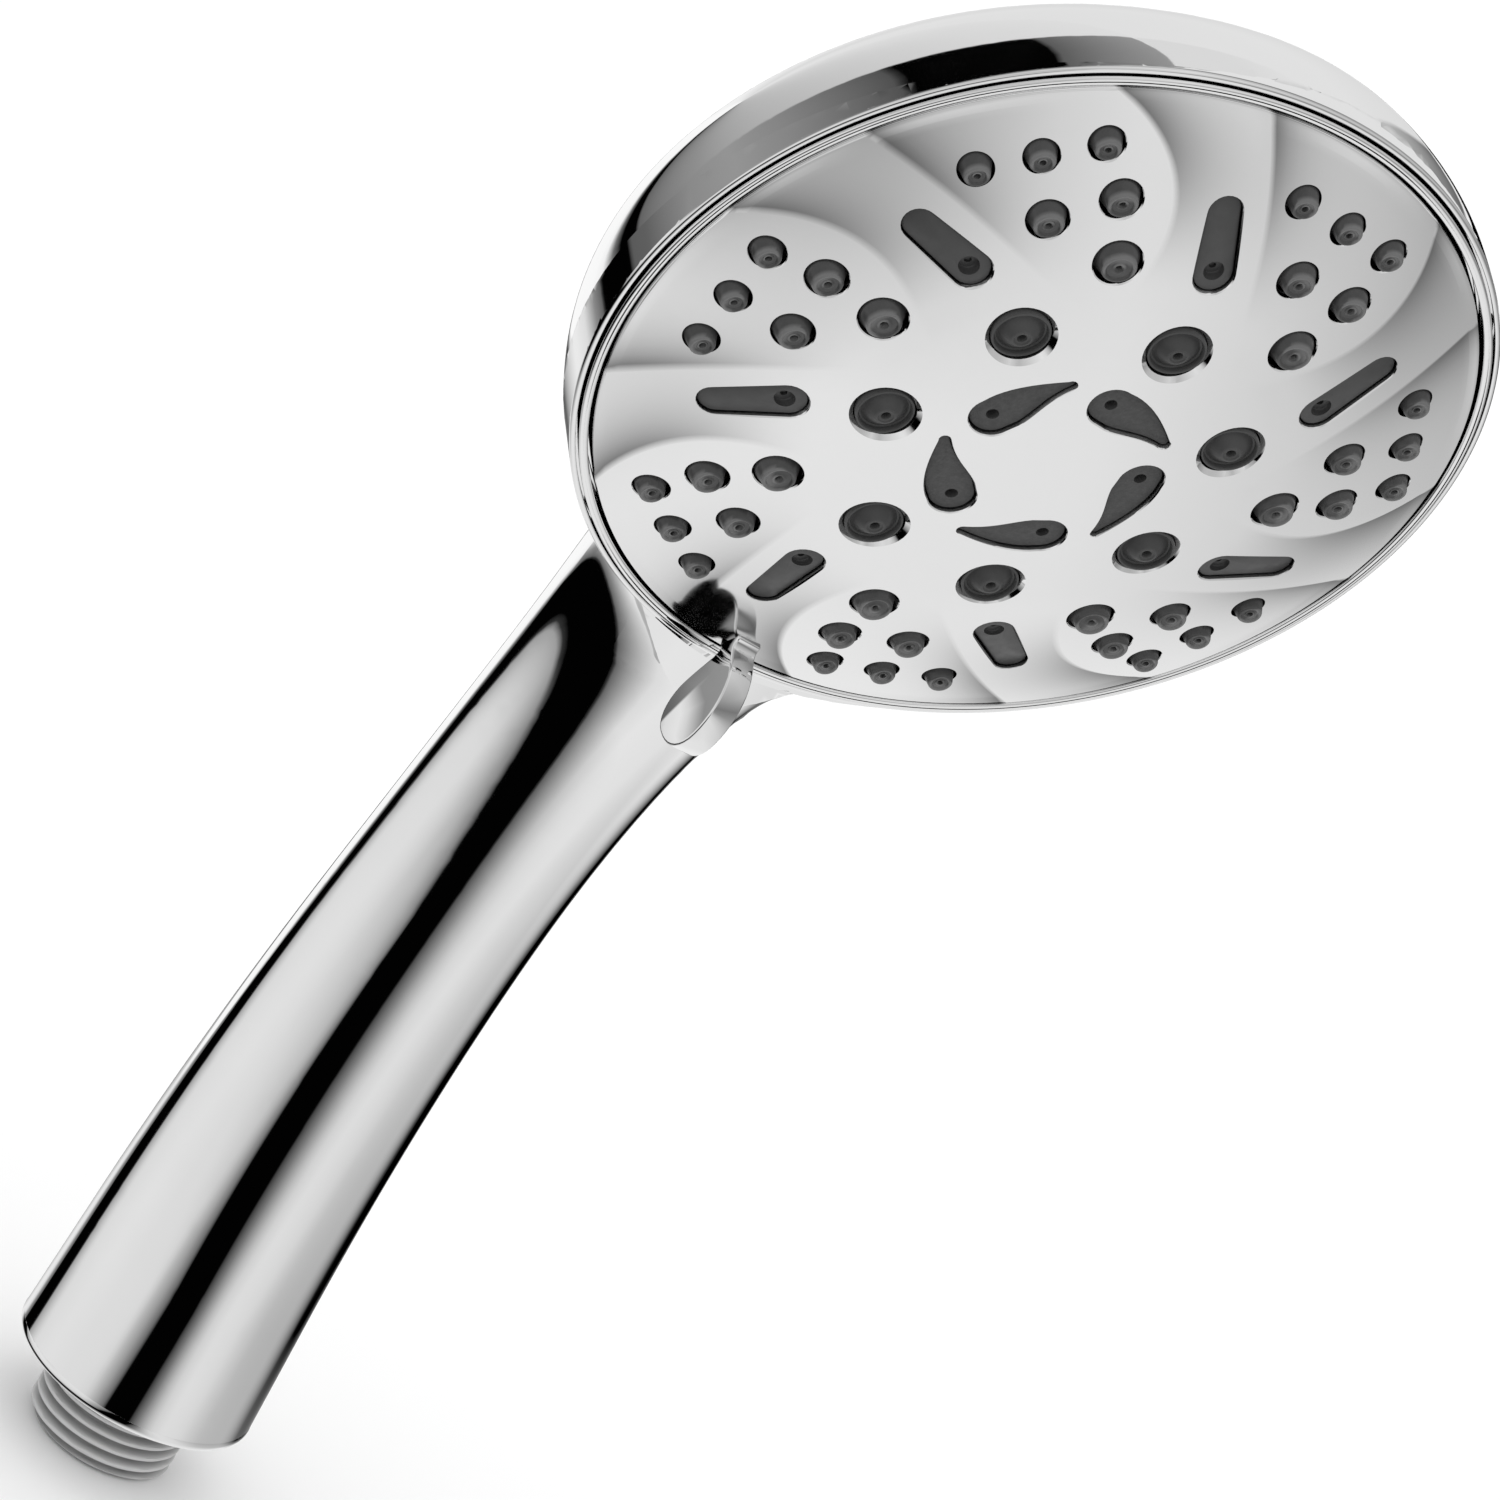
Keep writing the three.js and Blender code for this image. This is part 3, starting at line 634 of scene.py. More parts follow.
def stippled_material():
    material, tree, node = shader("silicone_stippled", grey(60), 0, 0.55, Specular_IOR_Level=0.45)
    dots = tree.nodes.new("ShaderNodeTexVoronoi")
    dots.inputs["Scale"].default_value = 2600
    place = tree.nodes.new("ShaderNodeTexCoord")
    tree.links.new(place.outputs["Object"], dots.inputs["Vector"])
    tint(tree, noise(tree, 1500, 4), grey(52), grey(76), node.inputs["Base Color"])
    bump(tree, dots.outputs["Distance"], 0.5, 0.08, node)
    return material


def plastic_material(name, value, roughness):
    material, tree, node = shader(name, grey(value), 0, roughness, Specular_IOR_Level=0.4)
    vary(tree, noise(tree, 500, 4), roughness - 0.06, roughness + 0.08, node.inputs["Roughness"])
    tint(tree, noise(tree, 220, 4), grey(value - 6), grey(value + 6), node.inputs["Base Color"])
    bump(tree, noise(tree, 2200, 3), 0.1, 0.03, node)
    return material


def rubber_material():
    material, tree, node = shader("seal_rubber", grey(34), 0, 0.6, Specular_IOR_Level=0.35)
    vary(tree, noise(tree, 1200, 3), 0.5, 0.7, node.inputs["Roughness"])
    bump(tree, noise(tree, 4000, 2), 0.1, 0.02, node)
    return material


def steel_material():
    material, tree, node = shader("bright_steel", grey(190), 1, 0.25)
    vary(tree, noise(tree, 400, 4, (1, 1, 8)), 0.18, 0.38, node.inputs["Roughness"])
    bump(tree, noise(tree, 1500, 3, (1, 1, 6)), 0.08, 0.02, node)
    return material


# ---------- body: skin and rim lip ----------


def hollow_field(p):
    """The hollow inside the skin, open at the thread end and closed a little behind the spray face."""
    h = to_head(p)
    head = np.where(back_depth(h) > 0, back_shape(h), np.hypot(h[..., 0], h[..., 1]) - BAND_R)
    whole = smooth_union(head, handle_field(p), NECK_FILLET) + SHELL_T
    closed = np.where(h[..., 1] > HEAD_SIDE_Y, np.maximum(whole, h[..., 2] - HOLLOW_FRONT), whole)
    return np.maximum(closed, -p[..., 2])


def cut_field(p):
    """The skin with the lip's cut at one level everywhere."""
    return skin_field(p, LIP_SEAT)


def long_field(p):
    """The skin carried a little past both of its cuts."""
    return np.maximum(skin_field(p), HANDLE_END_Z - 1.4 - p[..., 2])


def split_along_crease(obj):
    """Puts an edge exactly where the band meets the domed back."""
    mesh = bmesh.new()
    mesh.from_mesh(obj.data)
    origin = to_row(np.array([0, 0, BACK_PLANE])) * MM
    normal = np.array([0, -math.sin(BACK_TILT), math.cos(BACK_TILT)]) @ HEAD_AXES
    for vertex in mesh.verts:
        off = (np.array(vertex.co) - origin) @ normal
        if abs(off) < CREASE_SNAP * MM:
            vertex.co -= Vector(normal * off)
    parts = mesh.verts[:] + mesh.edges[:] + mesh.faces[:]
    bmesh.ops.bisect_plane(mesh, geom=parts, plane_co=origin, plane_no=normal, dist=1e-5)
    mesh.to_mesh(obj.data)
    mesh.free()


def body_skin(material):
    """Chrome head and handle: one smooth hollow skin."""
    outer = contour(long_field, SKIN_LOW, SKIN_HIGH, SKIN_CELL)
    inner = contour(hollow_field, HOLLOW_LOW, HOLLOW_HIGH, HOLLOW_CELL)
    obj = make_object("body_skin", *outer)
    split_along_crease(obj)
    boolean(obj, make_object("hollow", *inner), "DIFFERENCE")
    seat_r = BEZEL_OUTER_R + LIP_GAP
    pocket = [(0, POCKET_BACK), (seat_r, POCKET_BACK)]
    pocket += [(seat_r, LIP_SEAT), (LIP_CUT_R, LIP_SEAT), (LIP_CUT_R, 20), (0, 20)]
    boolean(obj, make_object("pocket", *lathe(pocket, RING_SEGMENTS, to_row)), "DIFFERENCE")
    end = [(0, -10), (40, -10), (40, HANDLE_END_Z + END_RING), (0, HANDLE_END_Z + END_RING)]
    boolean(obj, make_object("end", *lathe(end, 12)), "DIFFERENCE")
    follow_field(obj, cut_field)
    return finish_piece(obj, "body", "chrome", material, "body_shell")


def end_ring(material):
    """Rounded lower end of the handle, round the threaded inlet."""
    top = HANDLE_END_Z + END_RING
    outer = float(handle_radius(top))
    low = float(handle_radius(HANDLE_END_Z))
    inner = low - SHELL_T
    profile = [(inner, top), (inner, HANDLE_END_Z + 0.4)]
    profile += bezier([(inner, HANDLE_END_Z + 0.3), (inner, HANDLE_END_Z), (inner + 0.4, HANDLE_END_Z)], 4)
    profile += bezier([(low - 1, HANDLE_END_Z), (low, HANDLE_END_Z), (low, HANDLE_END_Z + 0.9)], 8)
    profile += [(outer, top)]
    obj = smooth(make_object("end_ring", *lathe(profile, RING_SEGMENTS)), 60)
    follow_field(obj, skin_field, 0.005)
    return finish_piece(obj, "body", "chrome", material)


def rim_lip(material):
    """Rounded front edge of the shell, round the spray face."""
    inner = BEZEL_OUTER_R + LIP_GAP
    inside = BAND_R - 0.25
    low = LIP_SEAT - 0.3
    profile = [(inner, low), (inside, low), (inside, LIP_SEAT), (BAND_R, LIP_SEAT)]
    profile += bezier([(BAND_R, LIP_SEAT + 0.02), (BAND_R, BAND_FRONT), (BAND_R - 0.5, BAND_FRONT)], 6)
    profile += bezier([(inner + 0.15, BAND_FRONT), (inner, BAND_FRONT), (inner, BAND_FRONT - 0.15)], 3)
    obj = smooth(make_object("rim_lip", *lathe(profile, RING_SEGMENTS, to_row)), 50)
    return finish_piece(obj, "body", "chrome", material)


def rim_bezel(material):
    """Chrome ring between the shell and the turning spray face, with a fine line along its top."""
    inner, outer = BEZEL_INNER_R + 0.02, BEZEL_OUTER_R
    profile = [(inner, -BEZEL_DEPTH), (outer, -BEZEL_DEPTH), (outer, -0.5)]
    profile += bezier([(outer, -0.45), (outer, 0), (outer - 0.35, 0)], 5)
    profile += [(51.66, 0), (51.62, -0.5), (51.54, -0.5), (51.5, 0)]
    profile += bezier([(51.35, 0), (inner, 0), (inner, -0.4)], 5)
    obj = smooth(make_object("bezel_ring", *lathe(profile, RING_SEGMENTS, to_row)), 50)
    return finish_piece(obj, "body", "chrome", material, "rim_bezel")


# ---------- spray face ----------


def petal_start(r):
    """Angle, clockwise from a large nozzle, where its petal's stepped side lies at radius r."""
    out = np.clip((r - PETAL_START_R) / (FACE_R - PETAL_START_R), 0, None)
    return PETAL_START - PETAL_START_SWEEP * out**0.6


def petal_end(r):
    """The same angle for the petal's other side, which is level with its neighbour."""
    out = np.maximum(r - PETAL_END_R, 0) / (FACE_R - PETAL_END_R)
    inward = np.clip(PETAL_END_R - r, 0, 11)
    return PETAL_END - PETAL_END_SWEEP * out**2 - 0.04 * inward**2


def petal_place(r, clockwise):
    """Share of the way across its petal or gap, its width in degrees, and whether it is a petal."""
    turn = (clockwise - PETAL_NOZZLES[0][1] - petal_start(r)) % SECTOR
    wide = petal_end(r) - petal_start(r)
    petal = turn < wide
    width = np.where(petal, wide, SECTOR - wide)
    return np.where(petal, turn, turn - wide) / width, width, petal


def relief(r):
    """How strongly the petals are stepped at radius r."""
    rise = PETAL_EYE * smoothstep(24, 28, r) + (1 - PETAL_EYE) * smoothstep(29, 50, r)
    return rise * (1 - 0.7 * smoothstep(49.2, 50.5, r))


def plate_top(x, y):
    r = np.hypot(x, y)
    share, _, _ = petal_place(r, -np.degrees(np.arctan2(y, x)))
    return dome(r) - PETAL_DEPTH * relief(r) * (1 - share) ** 1.6


def plate_field(p):
    h = to_head(p)
    return h[..., 2] - plate_top(h[..., 0], h[..., 1])


def petal_columns(r):
    """Clockwise angles round the plate at radius r, with two columns at each step."""
    wall = math.degrees(STEP_WALL / max(r, 20)) / 2
    start, end = float(petal_start(r)), float(petal_end(r))
    angles = []
    for copy in range(PETALS):
        base = PETAL_NOZZLES[0][1] + copy * SECTOR
        for a, b, count in ((start, end, 18), (end, start + SECTOR, 22)):
            angles.extend(base + np.linspace(a + wall, b - wall, count))
    return np.array(angles)


def plate_rings():
    """Radius and level of each ring of the plate: out over the top, round the skirt and back underneath."""
    over = (4, 9, 14, 18, 21, 23, *np.arange(24.5, 50.2, 0.8), FACE_R - 0.25)
    rings = [(r, "top") for r in over]
    rings += [(FACE_R, "edge"), (FACE_R, -SKIRT_DEPTH), (SKIRT_INNER_R, -SKIRT_DEPTH)]
    return rings + [(r, "under") for r in (SKIRT_INNER_R, 44, 38, 30, 20, 10)]


def plate_sheet():
    """The spray plate before its holes are cut."""
    rings = plate_rings()
    vertices = []
    for r, level in rings:
        a = np.radians(petal_columns(r))
        x, y = r * np.cos(a), -r * np.sin(a)
        heights = {
            "top": plate_top(x, y),
            "edge": np.minimum(plate_top(x, y) - 0.3, -0.3),
            "under": np.full(len(a), dome(r) - PLATE_T),
        }
        z = heights[level] if level in heights else np.full(len(a), level)
        vertices.append(np.stack([x, y, z], -1))
    count = len(vertices[0])
    total = len(rings) * count
    faces = loft(len(rings), count)
    for k in range(count):
        n = (k + 1) % count
        faces.append([total, n, k])
        faces.append([total + 1, total - count + k, total - count + n])
    poles = [[(0, 0, dome(0)), (0, 0, dome(0) - PLATE_T)]]
    return to_row(np.concatenate(vertices + poles)), faces


def prism(outline, z0, z1):
    """A closed outline of (x, y) points carried from z0 to z1 in the head's frame."""
    vertices = [(x, y, z) for z in (z0, z1) for x, y in outline]
    return np.array(vertices, float), loft(2, len(outline), "capped")


def circle(radius, centre, count=40):
    steps = [2 * math.pi * k / count for k in range(count)]
    return [(centre[0] + radius * math.cos(a), centre[1] + radius * math.sin(a)) for a in steps]


def nozzle_places():
    """Foot radius and place of every rubbing nozzle."""
    places = []
    for copy in range(PETALS):
        places += [(foot, on_face(r, angle + copy * SECTOR)) for r, angle, foot in PETAL_NOZZLES]
    return places


def mist_places():
    return [on_face(MIST_R, MIST_ANGLE + copy * SECTOR) for copy in range(PETALS)]


def turned(x, y, angle, centre):
    """A point turned about the origin, then moved to the centre."""
    c, s = math.cos(angle), math.sin(angle)
    return centre[0] + x * c - y * s, centre[1] + x * s + y * c


def slot_place(copy):
    """Middle and direction of a slot."""
    clockwise = SLOT_ANGLE + copy * SECTOR
    return on_face(SLOT_R, clockwise), -math.radians(clockwise + SLOT_SKEW)


def slot_outline(copy, margin):
    """Rounded bar at its place on the face, a little narrower at its outer end."""
    half = (SLOT_LENGTH - SLOT_WIDTH) / 2
    centre, turn = slot_place(copy)
    points = []
    for sign in (1, -1):
        r = SLOT_WIDTH / 2 + margin - SLOT_TAPER * sign
        for step in range(13):
            a = math.radians(-90 + 15 * step)
            x, y = sign * (half + r * math.cos(a)), sign * r * math.sin(a)
            points.append(turned(x, y, turn, centre))
    return points


def drop_outline(copy, margin):
    """Round head with a tail that leans along the pattern's circle."""
    turn = copy * 360 / TEARDROPS
    head = np.array(on_face(DROP_R, DROP_ANGLE + turn))
    tail = np.array(on_face(DROP_TAIL_R, DROP_TAIL_ANGLE + turn))
    length = float(np.linalg.norm(tail - head))
    along = (tail - head) / length
    across = np.array([-along[1], along[0]])
    if across @ head < 0:
        across = -across
    big, small = DROP_WIDTH / 2 + margin + 0.1, 0.55 + 0.7 * margin
    round_head = [(-big * math.sin(a), -big * math.cos(a)) for a in np.radians(range(-10, 181, 10))]
    outer = [(0, big), (0.35 * length, big + 0.75), (0.75 * length, small + 1.15), (length, small)]
    tip = [(length + small * math.sin(a), small * math.cos(a)) for a in np.radians(range(30, 180, 30))]
    inner = [(length, -small), (0.6 * length, -0.55 - margin)]
    inner += [(0.42 * length, -0.9 * big), (0.12 * length, -big)]
    outline = round_head + bezier(outer, 12) + tip + inner[:1] + bezier(inner, 10)[:-1]
    return [tuple((head + along * a + across * b).tolist()) for a, b in outline]


def wind(outline):
    """The outline's points, counterclockwise."""
    area = sum(a[0] * b[1] - b[0] * a[1] for a, b in zip(outline, outline[1:] + outline[:1]))
    return outline if area > 0 else outline[::-1]


def hole_cutter(outline_of, edge=HOLE_EDGE):
    """Cutter through the plate with a small chamfer that follows the plate's surface."""
    rings = []
    for margin, height in ((0, -8), (0, -edge), (edge, 0.04), (edge, 14)):
        outline = np.array(wind(outline_of(margin)))
        z = np.full(len(outline), float(height))
        if abs(height) < 1:
            z = dome(np.hypot(outline[:, 0], outline[:, 1])) + height
        rings.append(np.column_stack([outline, z]))
    return np.concatenate(rings), loft(len(rings), len(rings[0]), "capped")


def plate_cutters():
    """Cutters for every nozzle, mist insert, slot and teardrop."""
    parts = []
    for foot, at in nozzle_places():
        parts.append(hole_cutter(lambda margin: circle(foot + NOZZLE_CLEARANCE + margin, at)))
    for at in mist_places():
        parts.append(hole_cutter(lambda margin: circle(MIST_OUTER_R + 0.15 + margin, at), MIST_HOLE_EDGE))
    for copy in range(PETALS):
        parts.append(hole_cutter(lambda margin: slot_outline(copy, 0.2 + margin)))
    for copy in range(TEARDROPS):
        parts.append(hole_cutter(lambda margin: drop_outline(copy, 0.15 + margin)))
    return head_object("holes", parts)


def face_plate(material):
    """Satin chrome spray plate with stepped petals."""
    obj = make_object("spray_plate_front", *plate_sheet())
    boolean(obj, plate_cutters(), "DIFFERENCE")
    follow_field(obj, plate_field)
    h = to_head(vertex_points(obj.data))
    r = np.hypot(h[:, 0], h[:, 1])
    share, width, petal = petal_place(r, -np.degrees(np.arctan2(h[:, 1], h[:, 0])))
    away = share * np.radians(width) * r
    # Painted shade, stored on the vertices: darker beside each step, fading across the petal or gap, and
    # darker still down the hole walls and under the plate.
    shade = smoothstep(26, 50, r) * np.exp(-away / np.where(petal, SHADE_WIDTH, GAP_SHADE_WIDTH))
    below = np.clip((plate_top(h[:, 0], h[:, 1]) - h[:, 2] - 0.7) / 0.3, 0, 1)
    paint(obj, "painted_recess_shade", np.maximum(shade, below))
    return finish_piece(obj, "spray_face", "satin_chrome", material, "face_plate")


def nozzle_profile(foot, r):
    """Soft nozzle: a blunt cone that fills its hole, with a dished tip round its spray hole."""
    top = dome(r)
    seat = top - MAT_GAP - 0.4
    high = top + NOZZLE_HEIGHT
    cup, tip = foot + 0.1, foot * NOZZLE_TIP
    profile = [(cup, seat), (cup, top - 0.9), (cup - 0.12, top - 0.5), (tip + 0.26, top + 0.35)]
    profile += bezier([(tip + 0.18, top + 0.7), (tip + 0.12, high), (tip - 0.18, high)], 5)
    profile += [(tip - 0.3, top + 1.02), (tip - 0.42, top + 0.8), (0.34 * foot, top + 0.78)]
    profile += [(0.3 * foot, top + 0.88), (0.22 * foot, top + 0.88), (0.3, top + 0.7)]
    return profile + [(0.26, top + 0.1), (0, top + 0.1), (0, seat)]


def nozzle_shape(foot, at):
    """One nozzle at its place, its spray hole a little oval."""
    vertices, faces = lathe(nozzle_profile(foot, math.hypot(*at)), 32)
    hole = np.hypot(vertices[:, 0], vertices[:, 1]) < 0.32
    stretched = vertices[:, 0] * np.where(hole, 1.4, 1)
    x, y = turned(stretched, vertices[:, 1], math.atan2(at[1], at[0]) + 0.5, at)
    return np.stack([x, y, vertices[:, 2]], -1), faces


def paint_tip_highlights(obj):
    """Paints the top rim of each nozzle lighter in colour: a painted highlight where the rim catches the
    light.
    """
    h = to_head(vertex_points(obj.data))
    height = h[:, 2] - dome(np.hypot(h[:, 0], h[:, 1]))
    paint(obj, "edge", smoothstep(0.86, 1.0, height))


def nozzles(material):
    """The mat behind the plate with all of its soft nozzles."""
    radii = np.linspace(4, MAT_R, 14)
    profile = [(r, dome(r) - MAT_GAP - MAT_T) for r in radii[::-1]]
    profile += [(0, dome(0) - MAT_GAP - MAT_T), (0, dome(0) - MAT_GAP)]
    profile += [(r, dome(r) - MAT_GAP) for r in radii]
    obj = make_object("nozzle_mat_soft", *lathe(profile, 96, to_row))
    boolean(obj, head_object("tips", [nozzle_shape(*place) for place in nozzle_places()]), "UNION")
    openings = [prism(circle(MIST_OUTER_R + 0.1, at), -8, 14) for at in mist_places()]
    boolean(obj, head_object("mist_openings", openings), "DIFFERENCE")
    smooth(obj, 50)
    paint_tip_highlights(obj)
    obj.visible_glossy = False
    return finish_piece(obj, "spray_face", "silicone", material, "nozzle_mat")


def plug(outline, top_drop, round_r):
    """A soft plug that fills an outline, its top rounded over and following the dome."""
    centre = np.mean(outline, axis=0)
    n = len(outline)
    outline = np.array(outline)
    tangent = np.roll(outline, -1, 0) - np.roll(outline, 1, 0)
    inward = np.stack([-tangent[:, 1], tangent[:, 0]], -1) / np.linalg.norm(tangent, axis=1)[:, None]
    levels = [(0, PLUG_BACK), (0, -round_r), (0.3 * round_r, -0.3 * round_r), (round_r, 0)]
    vertices = []
    for inset, drop in levels:
        at = outline + inward * inset
        top = dome(np.hypot(at[:, 0], at[:, 1])) - top_drop
        vertices.append(np.column_stack([at, top + drop]))
    top = dome(math.hypot(*centre)) - top_drop
    vertices.append(np.array([[*centre, top + 0.02], [*centre, top + PLUG_BACK]]))
    faces = loft(len(levels), n)
    crown = len(levels) * n
    last = crown - n
    faces += [[last + k, last + (k + 1) % n, crown] for k in range(n)]
    faces += [[(k + 1) % n, k, crown + 1] for k in range(n)]
    return np.concatenate(vertices), faces


def slot_plugs(material):
    """Soft bars in the long slots, each with one spray hole near its inner end."""
    plugs = [plug(wind(slot_outline(copy, 0.1)), 0.55, 0.25) for copy in range(PETALS)]
    obj = head_object("slot_plugs", plugs)
    cup = [(0.42, PLUG_BACK), (0.42, -0.72), (1.05, -0.68), (1.2, -0.5), (1.2, 6), (0, 6), (0, PLUG_BACK)]
    holes = []
    for copy in range(PETALS):
        centre, turn = slot_place(copy)
        at = turned(-SLOT_HOLE_OUT, 0, turn, centre)
        vertices, faces = lathe([(r, dome(SLOT_R) + z) for r, z in cup], 24)
        holes.append((vertices + np.array([*at, 0]), faces))
    boolean(obj, head_object("slot_holes", holes), "DIFFERENCE")
    smooth(obj, 40)
    return finish_piece(obj, "spray_face", "silicone", material)


def teardrops(material):
    """Stippled soft drops round the centre, each with a spray hole in its head."""
    plugs = [plug(wind(drop_outline(copy, 0.05)), 0.6, 0.3) for copy in range(TEARDROPS)]
    obj = head_object("teardrop_plugs", plugs)
    places = [on_face(DROP_R, DROP_ANGLE + copy * 360 / TEARDROPS) for copy in range(TEARDROPS)]
    low = dome(DROP_R) - 1.8
    holes = [prism(circle(DROP_HOLE_R, at, 24), low, 14) for at in places]
    boolean(obj, head_object("drop_holes", holes), "DIFFERENCE")
    smooth(obj, 40)
    return finish_piece(obj, "spray_face", "silicone", material)


def mist_inserts(material):
    """Hard cups with a conical mouth and a fine spray hole."""
    back = -3.6
    outline = [(MIST_OUTER_R, back), (MIST_OUTER_R, -0.5), (3.32, -0.32), (3.12, -0.28), (2.98, -0.42)]
    outline += [(2.9, -0.9), (2.7, -0.98), (2.5, -0.9), (2.3, -0.7), (1.3, 0.2), (1.1, 0.32)]
    outline += [(0.95, 0.32), (0.82, 0.2), (0.6, 0.18), (0.5, 0.05), (0.42, -0.8), (0, -0.8), (0, back)]
    vertices, faces = lathe([(r, dome(MIST_R) + z) for r, z in outline], 40)
    for number, at in enumerate(mist_places(), 1):
        obj = make_object(f"mist_cup_{number}", to_row(vertices + np.array([*at, 0])), faces)
        smooth(obj, 40)
        finish_piece(obj, "spray_face", "grey_plastic", material, f"mist_insert_{number}")


def selector_lever(material):
    """Thin chrome lever that turns the spray face, its foot sunk in the plate."""
    outline = [(47.2, -0.6), (50.5, -0.6), (50.5, 0.6)]
    outline += bezier([(50.5, 0.6), (51.5, 1.3), (54.5, 0.9), (57.5, 1.5)], 10)
    outline += bezier([(57.5, 1.5), (60.4, 2.2), (61.9, 4), (61.7, 5.8)], 8)
    outline += bezier([(61.7, 5.8), (61.4, 8.4), (59.8, 9.9), (57.4, 9.8)], 8)
    outline += bezier([(57.4, 9.8), (53.5, 9.4), (49.6, 7), (48.7, 2.8)], 12)
    outline += bezier([(48.7, 2.8), (48.4, 1.6), (47.9, 1.3), (47.2, 1.2)], 6)
    vertices = []
    for side in (-LEVER_T / 2, LEVER_T / 2):
        vertices += [(*turned(r, side, -math.radians(LEVER_ANGLE), (0, 0)), z) for r, z in outline]
    obj = make_object("lever_blade", to_row(vertices), loft(2, len(outline), "capped"))
    fix_winding(obj)
    soften(obj, 0.3, 3, 50)
    smooth(obj, 50)
    return finish_piece(obj, "spray_face", "chrome", material, "selector_lever")


# ---------- threaded core ----------


def thread_radius(turn, z):
    """Rounded helical thread that runs out at both ends."""
    phase = (z / THREAD_PITCH - turn) % 1
    tooth = smoothstep(0.08, 0.4, phase) - smoothstep(0.6, 0.92, phase)
    fade = smoothstep(0.1, 1.0, z) * (1 - smoothstep(9.6, 10.6, z))
    return THREAD_ROOT_R + (THREAD_CREST_R - THREAD_ROOT_R) * tooth * fade


def core_rings(turns):
    """Radii round each ring and its height: up the thread, up the tube and back down through the bore."""
    rings = []
    for z in np.arange(0, THREAD_LENGTH, THREAD_PITCH / 12):
        radii = thread_radius(turns, z)
        if z < LEAD_IN:
            radii = np.minimum(radii, THREAD_ROOT_R - 0.35 + z)
        rings.append((radii, z))
    profile = [(9.4, 11.0), (9.4, 11.25), (CORE_FLANGE_R, 11.25), (CORE_FLANGE_R, 12.9)]
    profile += [(CORE_GROOVE_R, 12.9), (CORE_GROOVE_R, 14.5), (CORE_FLANGE_R, 14.5), (CORE_FLANGE_R, 16.5)]
    profile += [(CORE_TUBE_R, 17.5)] + [(CORE_TUBE_R, z) for z in np.linspace(22, 145, TUBE_RINGS)]
    profile += [(SPIGOT_R, SPIGOT_Z), (SPIGOT_R, CORE_TOP_Z - 0.5), (SPIGOT_R - 0.5, CORE_TOP_Z)]
    profile += [(CORE_BORE_R, CORE_TOP_Z)] + [(CORE_BORE_R, z) for z in np.linspace(160, 22, TUBE_RINGS)]
    profile += [(CORE_BORE_R, 16.0), (INLET_BORE_R, 16.0), (INLET_BORE_R, 0.5), (INLET_BORE_R + 0.4, 0.0)]
    return rings + [(np.full(len(turns), r), z) for r, z in profile]


def bent(points):
    """Points round a straight axis, moved so that they follow the handle's curve."""
    slope = np.arctan(bow_slope(points[:, 2]))
    across = points[:, 1]
    y = bow(points[:, 2]) + across * np.cos(slope)
    return np.stack([points[:, 0], y, points[:, 2] - across * np.sin(slope)], -1)


def handle_core(material):
    """Grey threaded inlet and the tube that carries water up the handle."""
    turns = np.arange(96) / 96
    angles = 2 * math.pi * turns
    rings = core_rings(turns)
    straight = np.concatenate([
        np.stack([radii * np.cos(angles), radii * np.sin(angles), np.full(len(turns), z)], -1)
        for radii, z in rings
    ])
    vertices = bent(straight)
    obj = make_object("inlet_core", vertices, loft(len(rings), len(turns), "joined"))
    smooth(obj, 50)
    # Painted light on the thread: 0 in the roots and 1 on the crests, for a colour that is darker in the
    # grooves and lighter on the crests.
    thread_painted_light = (np.hypot(vertices[:, 0], vertices[:, 1]) - THREAD_ROOT_R) / (THREAD_CREST_R - THREAD_ROOT_R)
    paint(obj, "thread_painted_light", np.clip(thread_painted_light, 0, 1))
    return finish_piece(obj, "body", "grey_plastic", material, "handle_core")


def thread_material():
    material, tree, node = shader("grey_thread", grey(140), 0, 0.5, Specular_IOR_Level=0.4)
    vary(tree, noise(tree, 700, 4), 0.42, 0.62, node.inputs["Roughness"])
    # Painted shade and highlight: the thread's grooves are painted darker and its crests lighter.
    tint(tree, painted(tree, "thread_painted_light"), grey(116), grey(190), node.inputs["Base Color"])
    bump(tree, noise(tree, 2400, 3), 0.15, 0.03, node)
    return material


# ---------- studio ----------

# Light round the object: the angle about the front-back line in degrees (0 looks straight down, 90 to the
# right, -90 to the left, 180 up), and how bright the studio is there, as a displayed grey.
BACKDROP = [
    (-180, 226), (-156, 219), (-132, 205), (-108, 182), (-84, 146), (-62, 118), (-51, 100), (-50, 2),
    (-35, 2), (-27, 110), (-14, 245), (0, 252), (62, 252), (74, 232), (95, 221), (135, 229), (180, 228),
]
RIM_SIDE = [
    (-180, 150), (-163, 92), (-162, 2), (-134, 2), (-133, 80), (-108, 136), (-94, 151), (-80, 140),
    (-60, 97), (-51, 92), (-50, 2), (-27, 2), (-26, 98), (-18, 140), (-6, 224), (8, 237), (93, 238),
    (94, 98), (108, 160), (132, 210), (150, 230), (168, 220),
]
SIDE = [
    (-180, 150), (-163, 92), (-162, 2), (-134, 2), (-133, 80), (-108, 136), (-94, 151), (-80, 142),
    (-73, 215), (-69, 231), (-60, 222), (-52, 160), (-50.5, 2), (-27, 2), (-26, 98), (-12, 186),
    (0, 226), (14, 241), (93, 238), (94, 98), (108, 160), (132, 210), (150, 230), (168, 220),
]
LEVEL = [
    (-180, 222), (-134, 196), (-108, 205), (-76, 231), (-66, 222), (-57, 185), (-51, 125), (-50, 2),
    (-27, 2), (-26, 98), (-12, 180), (0, 223), (14, 233), (40, 229), (56, 208), (72, 165), (90, 120),
    (110, 180), (180, 222),
]
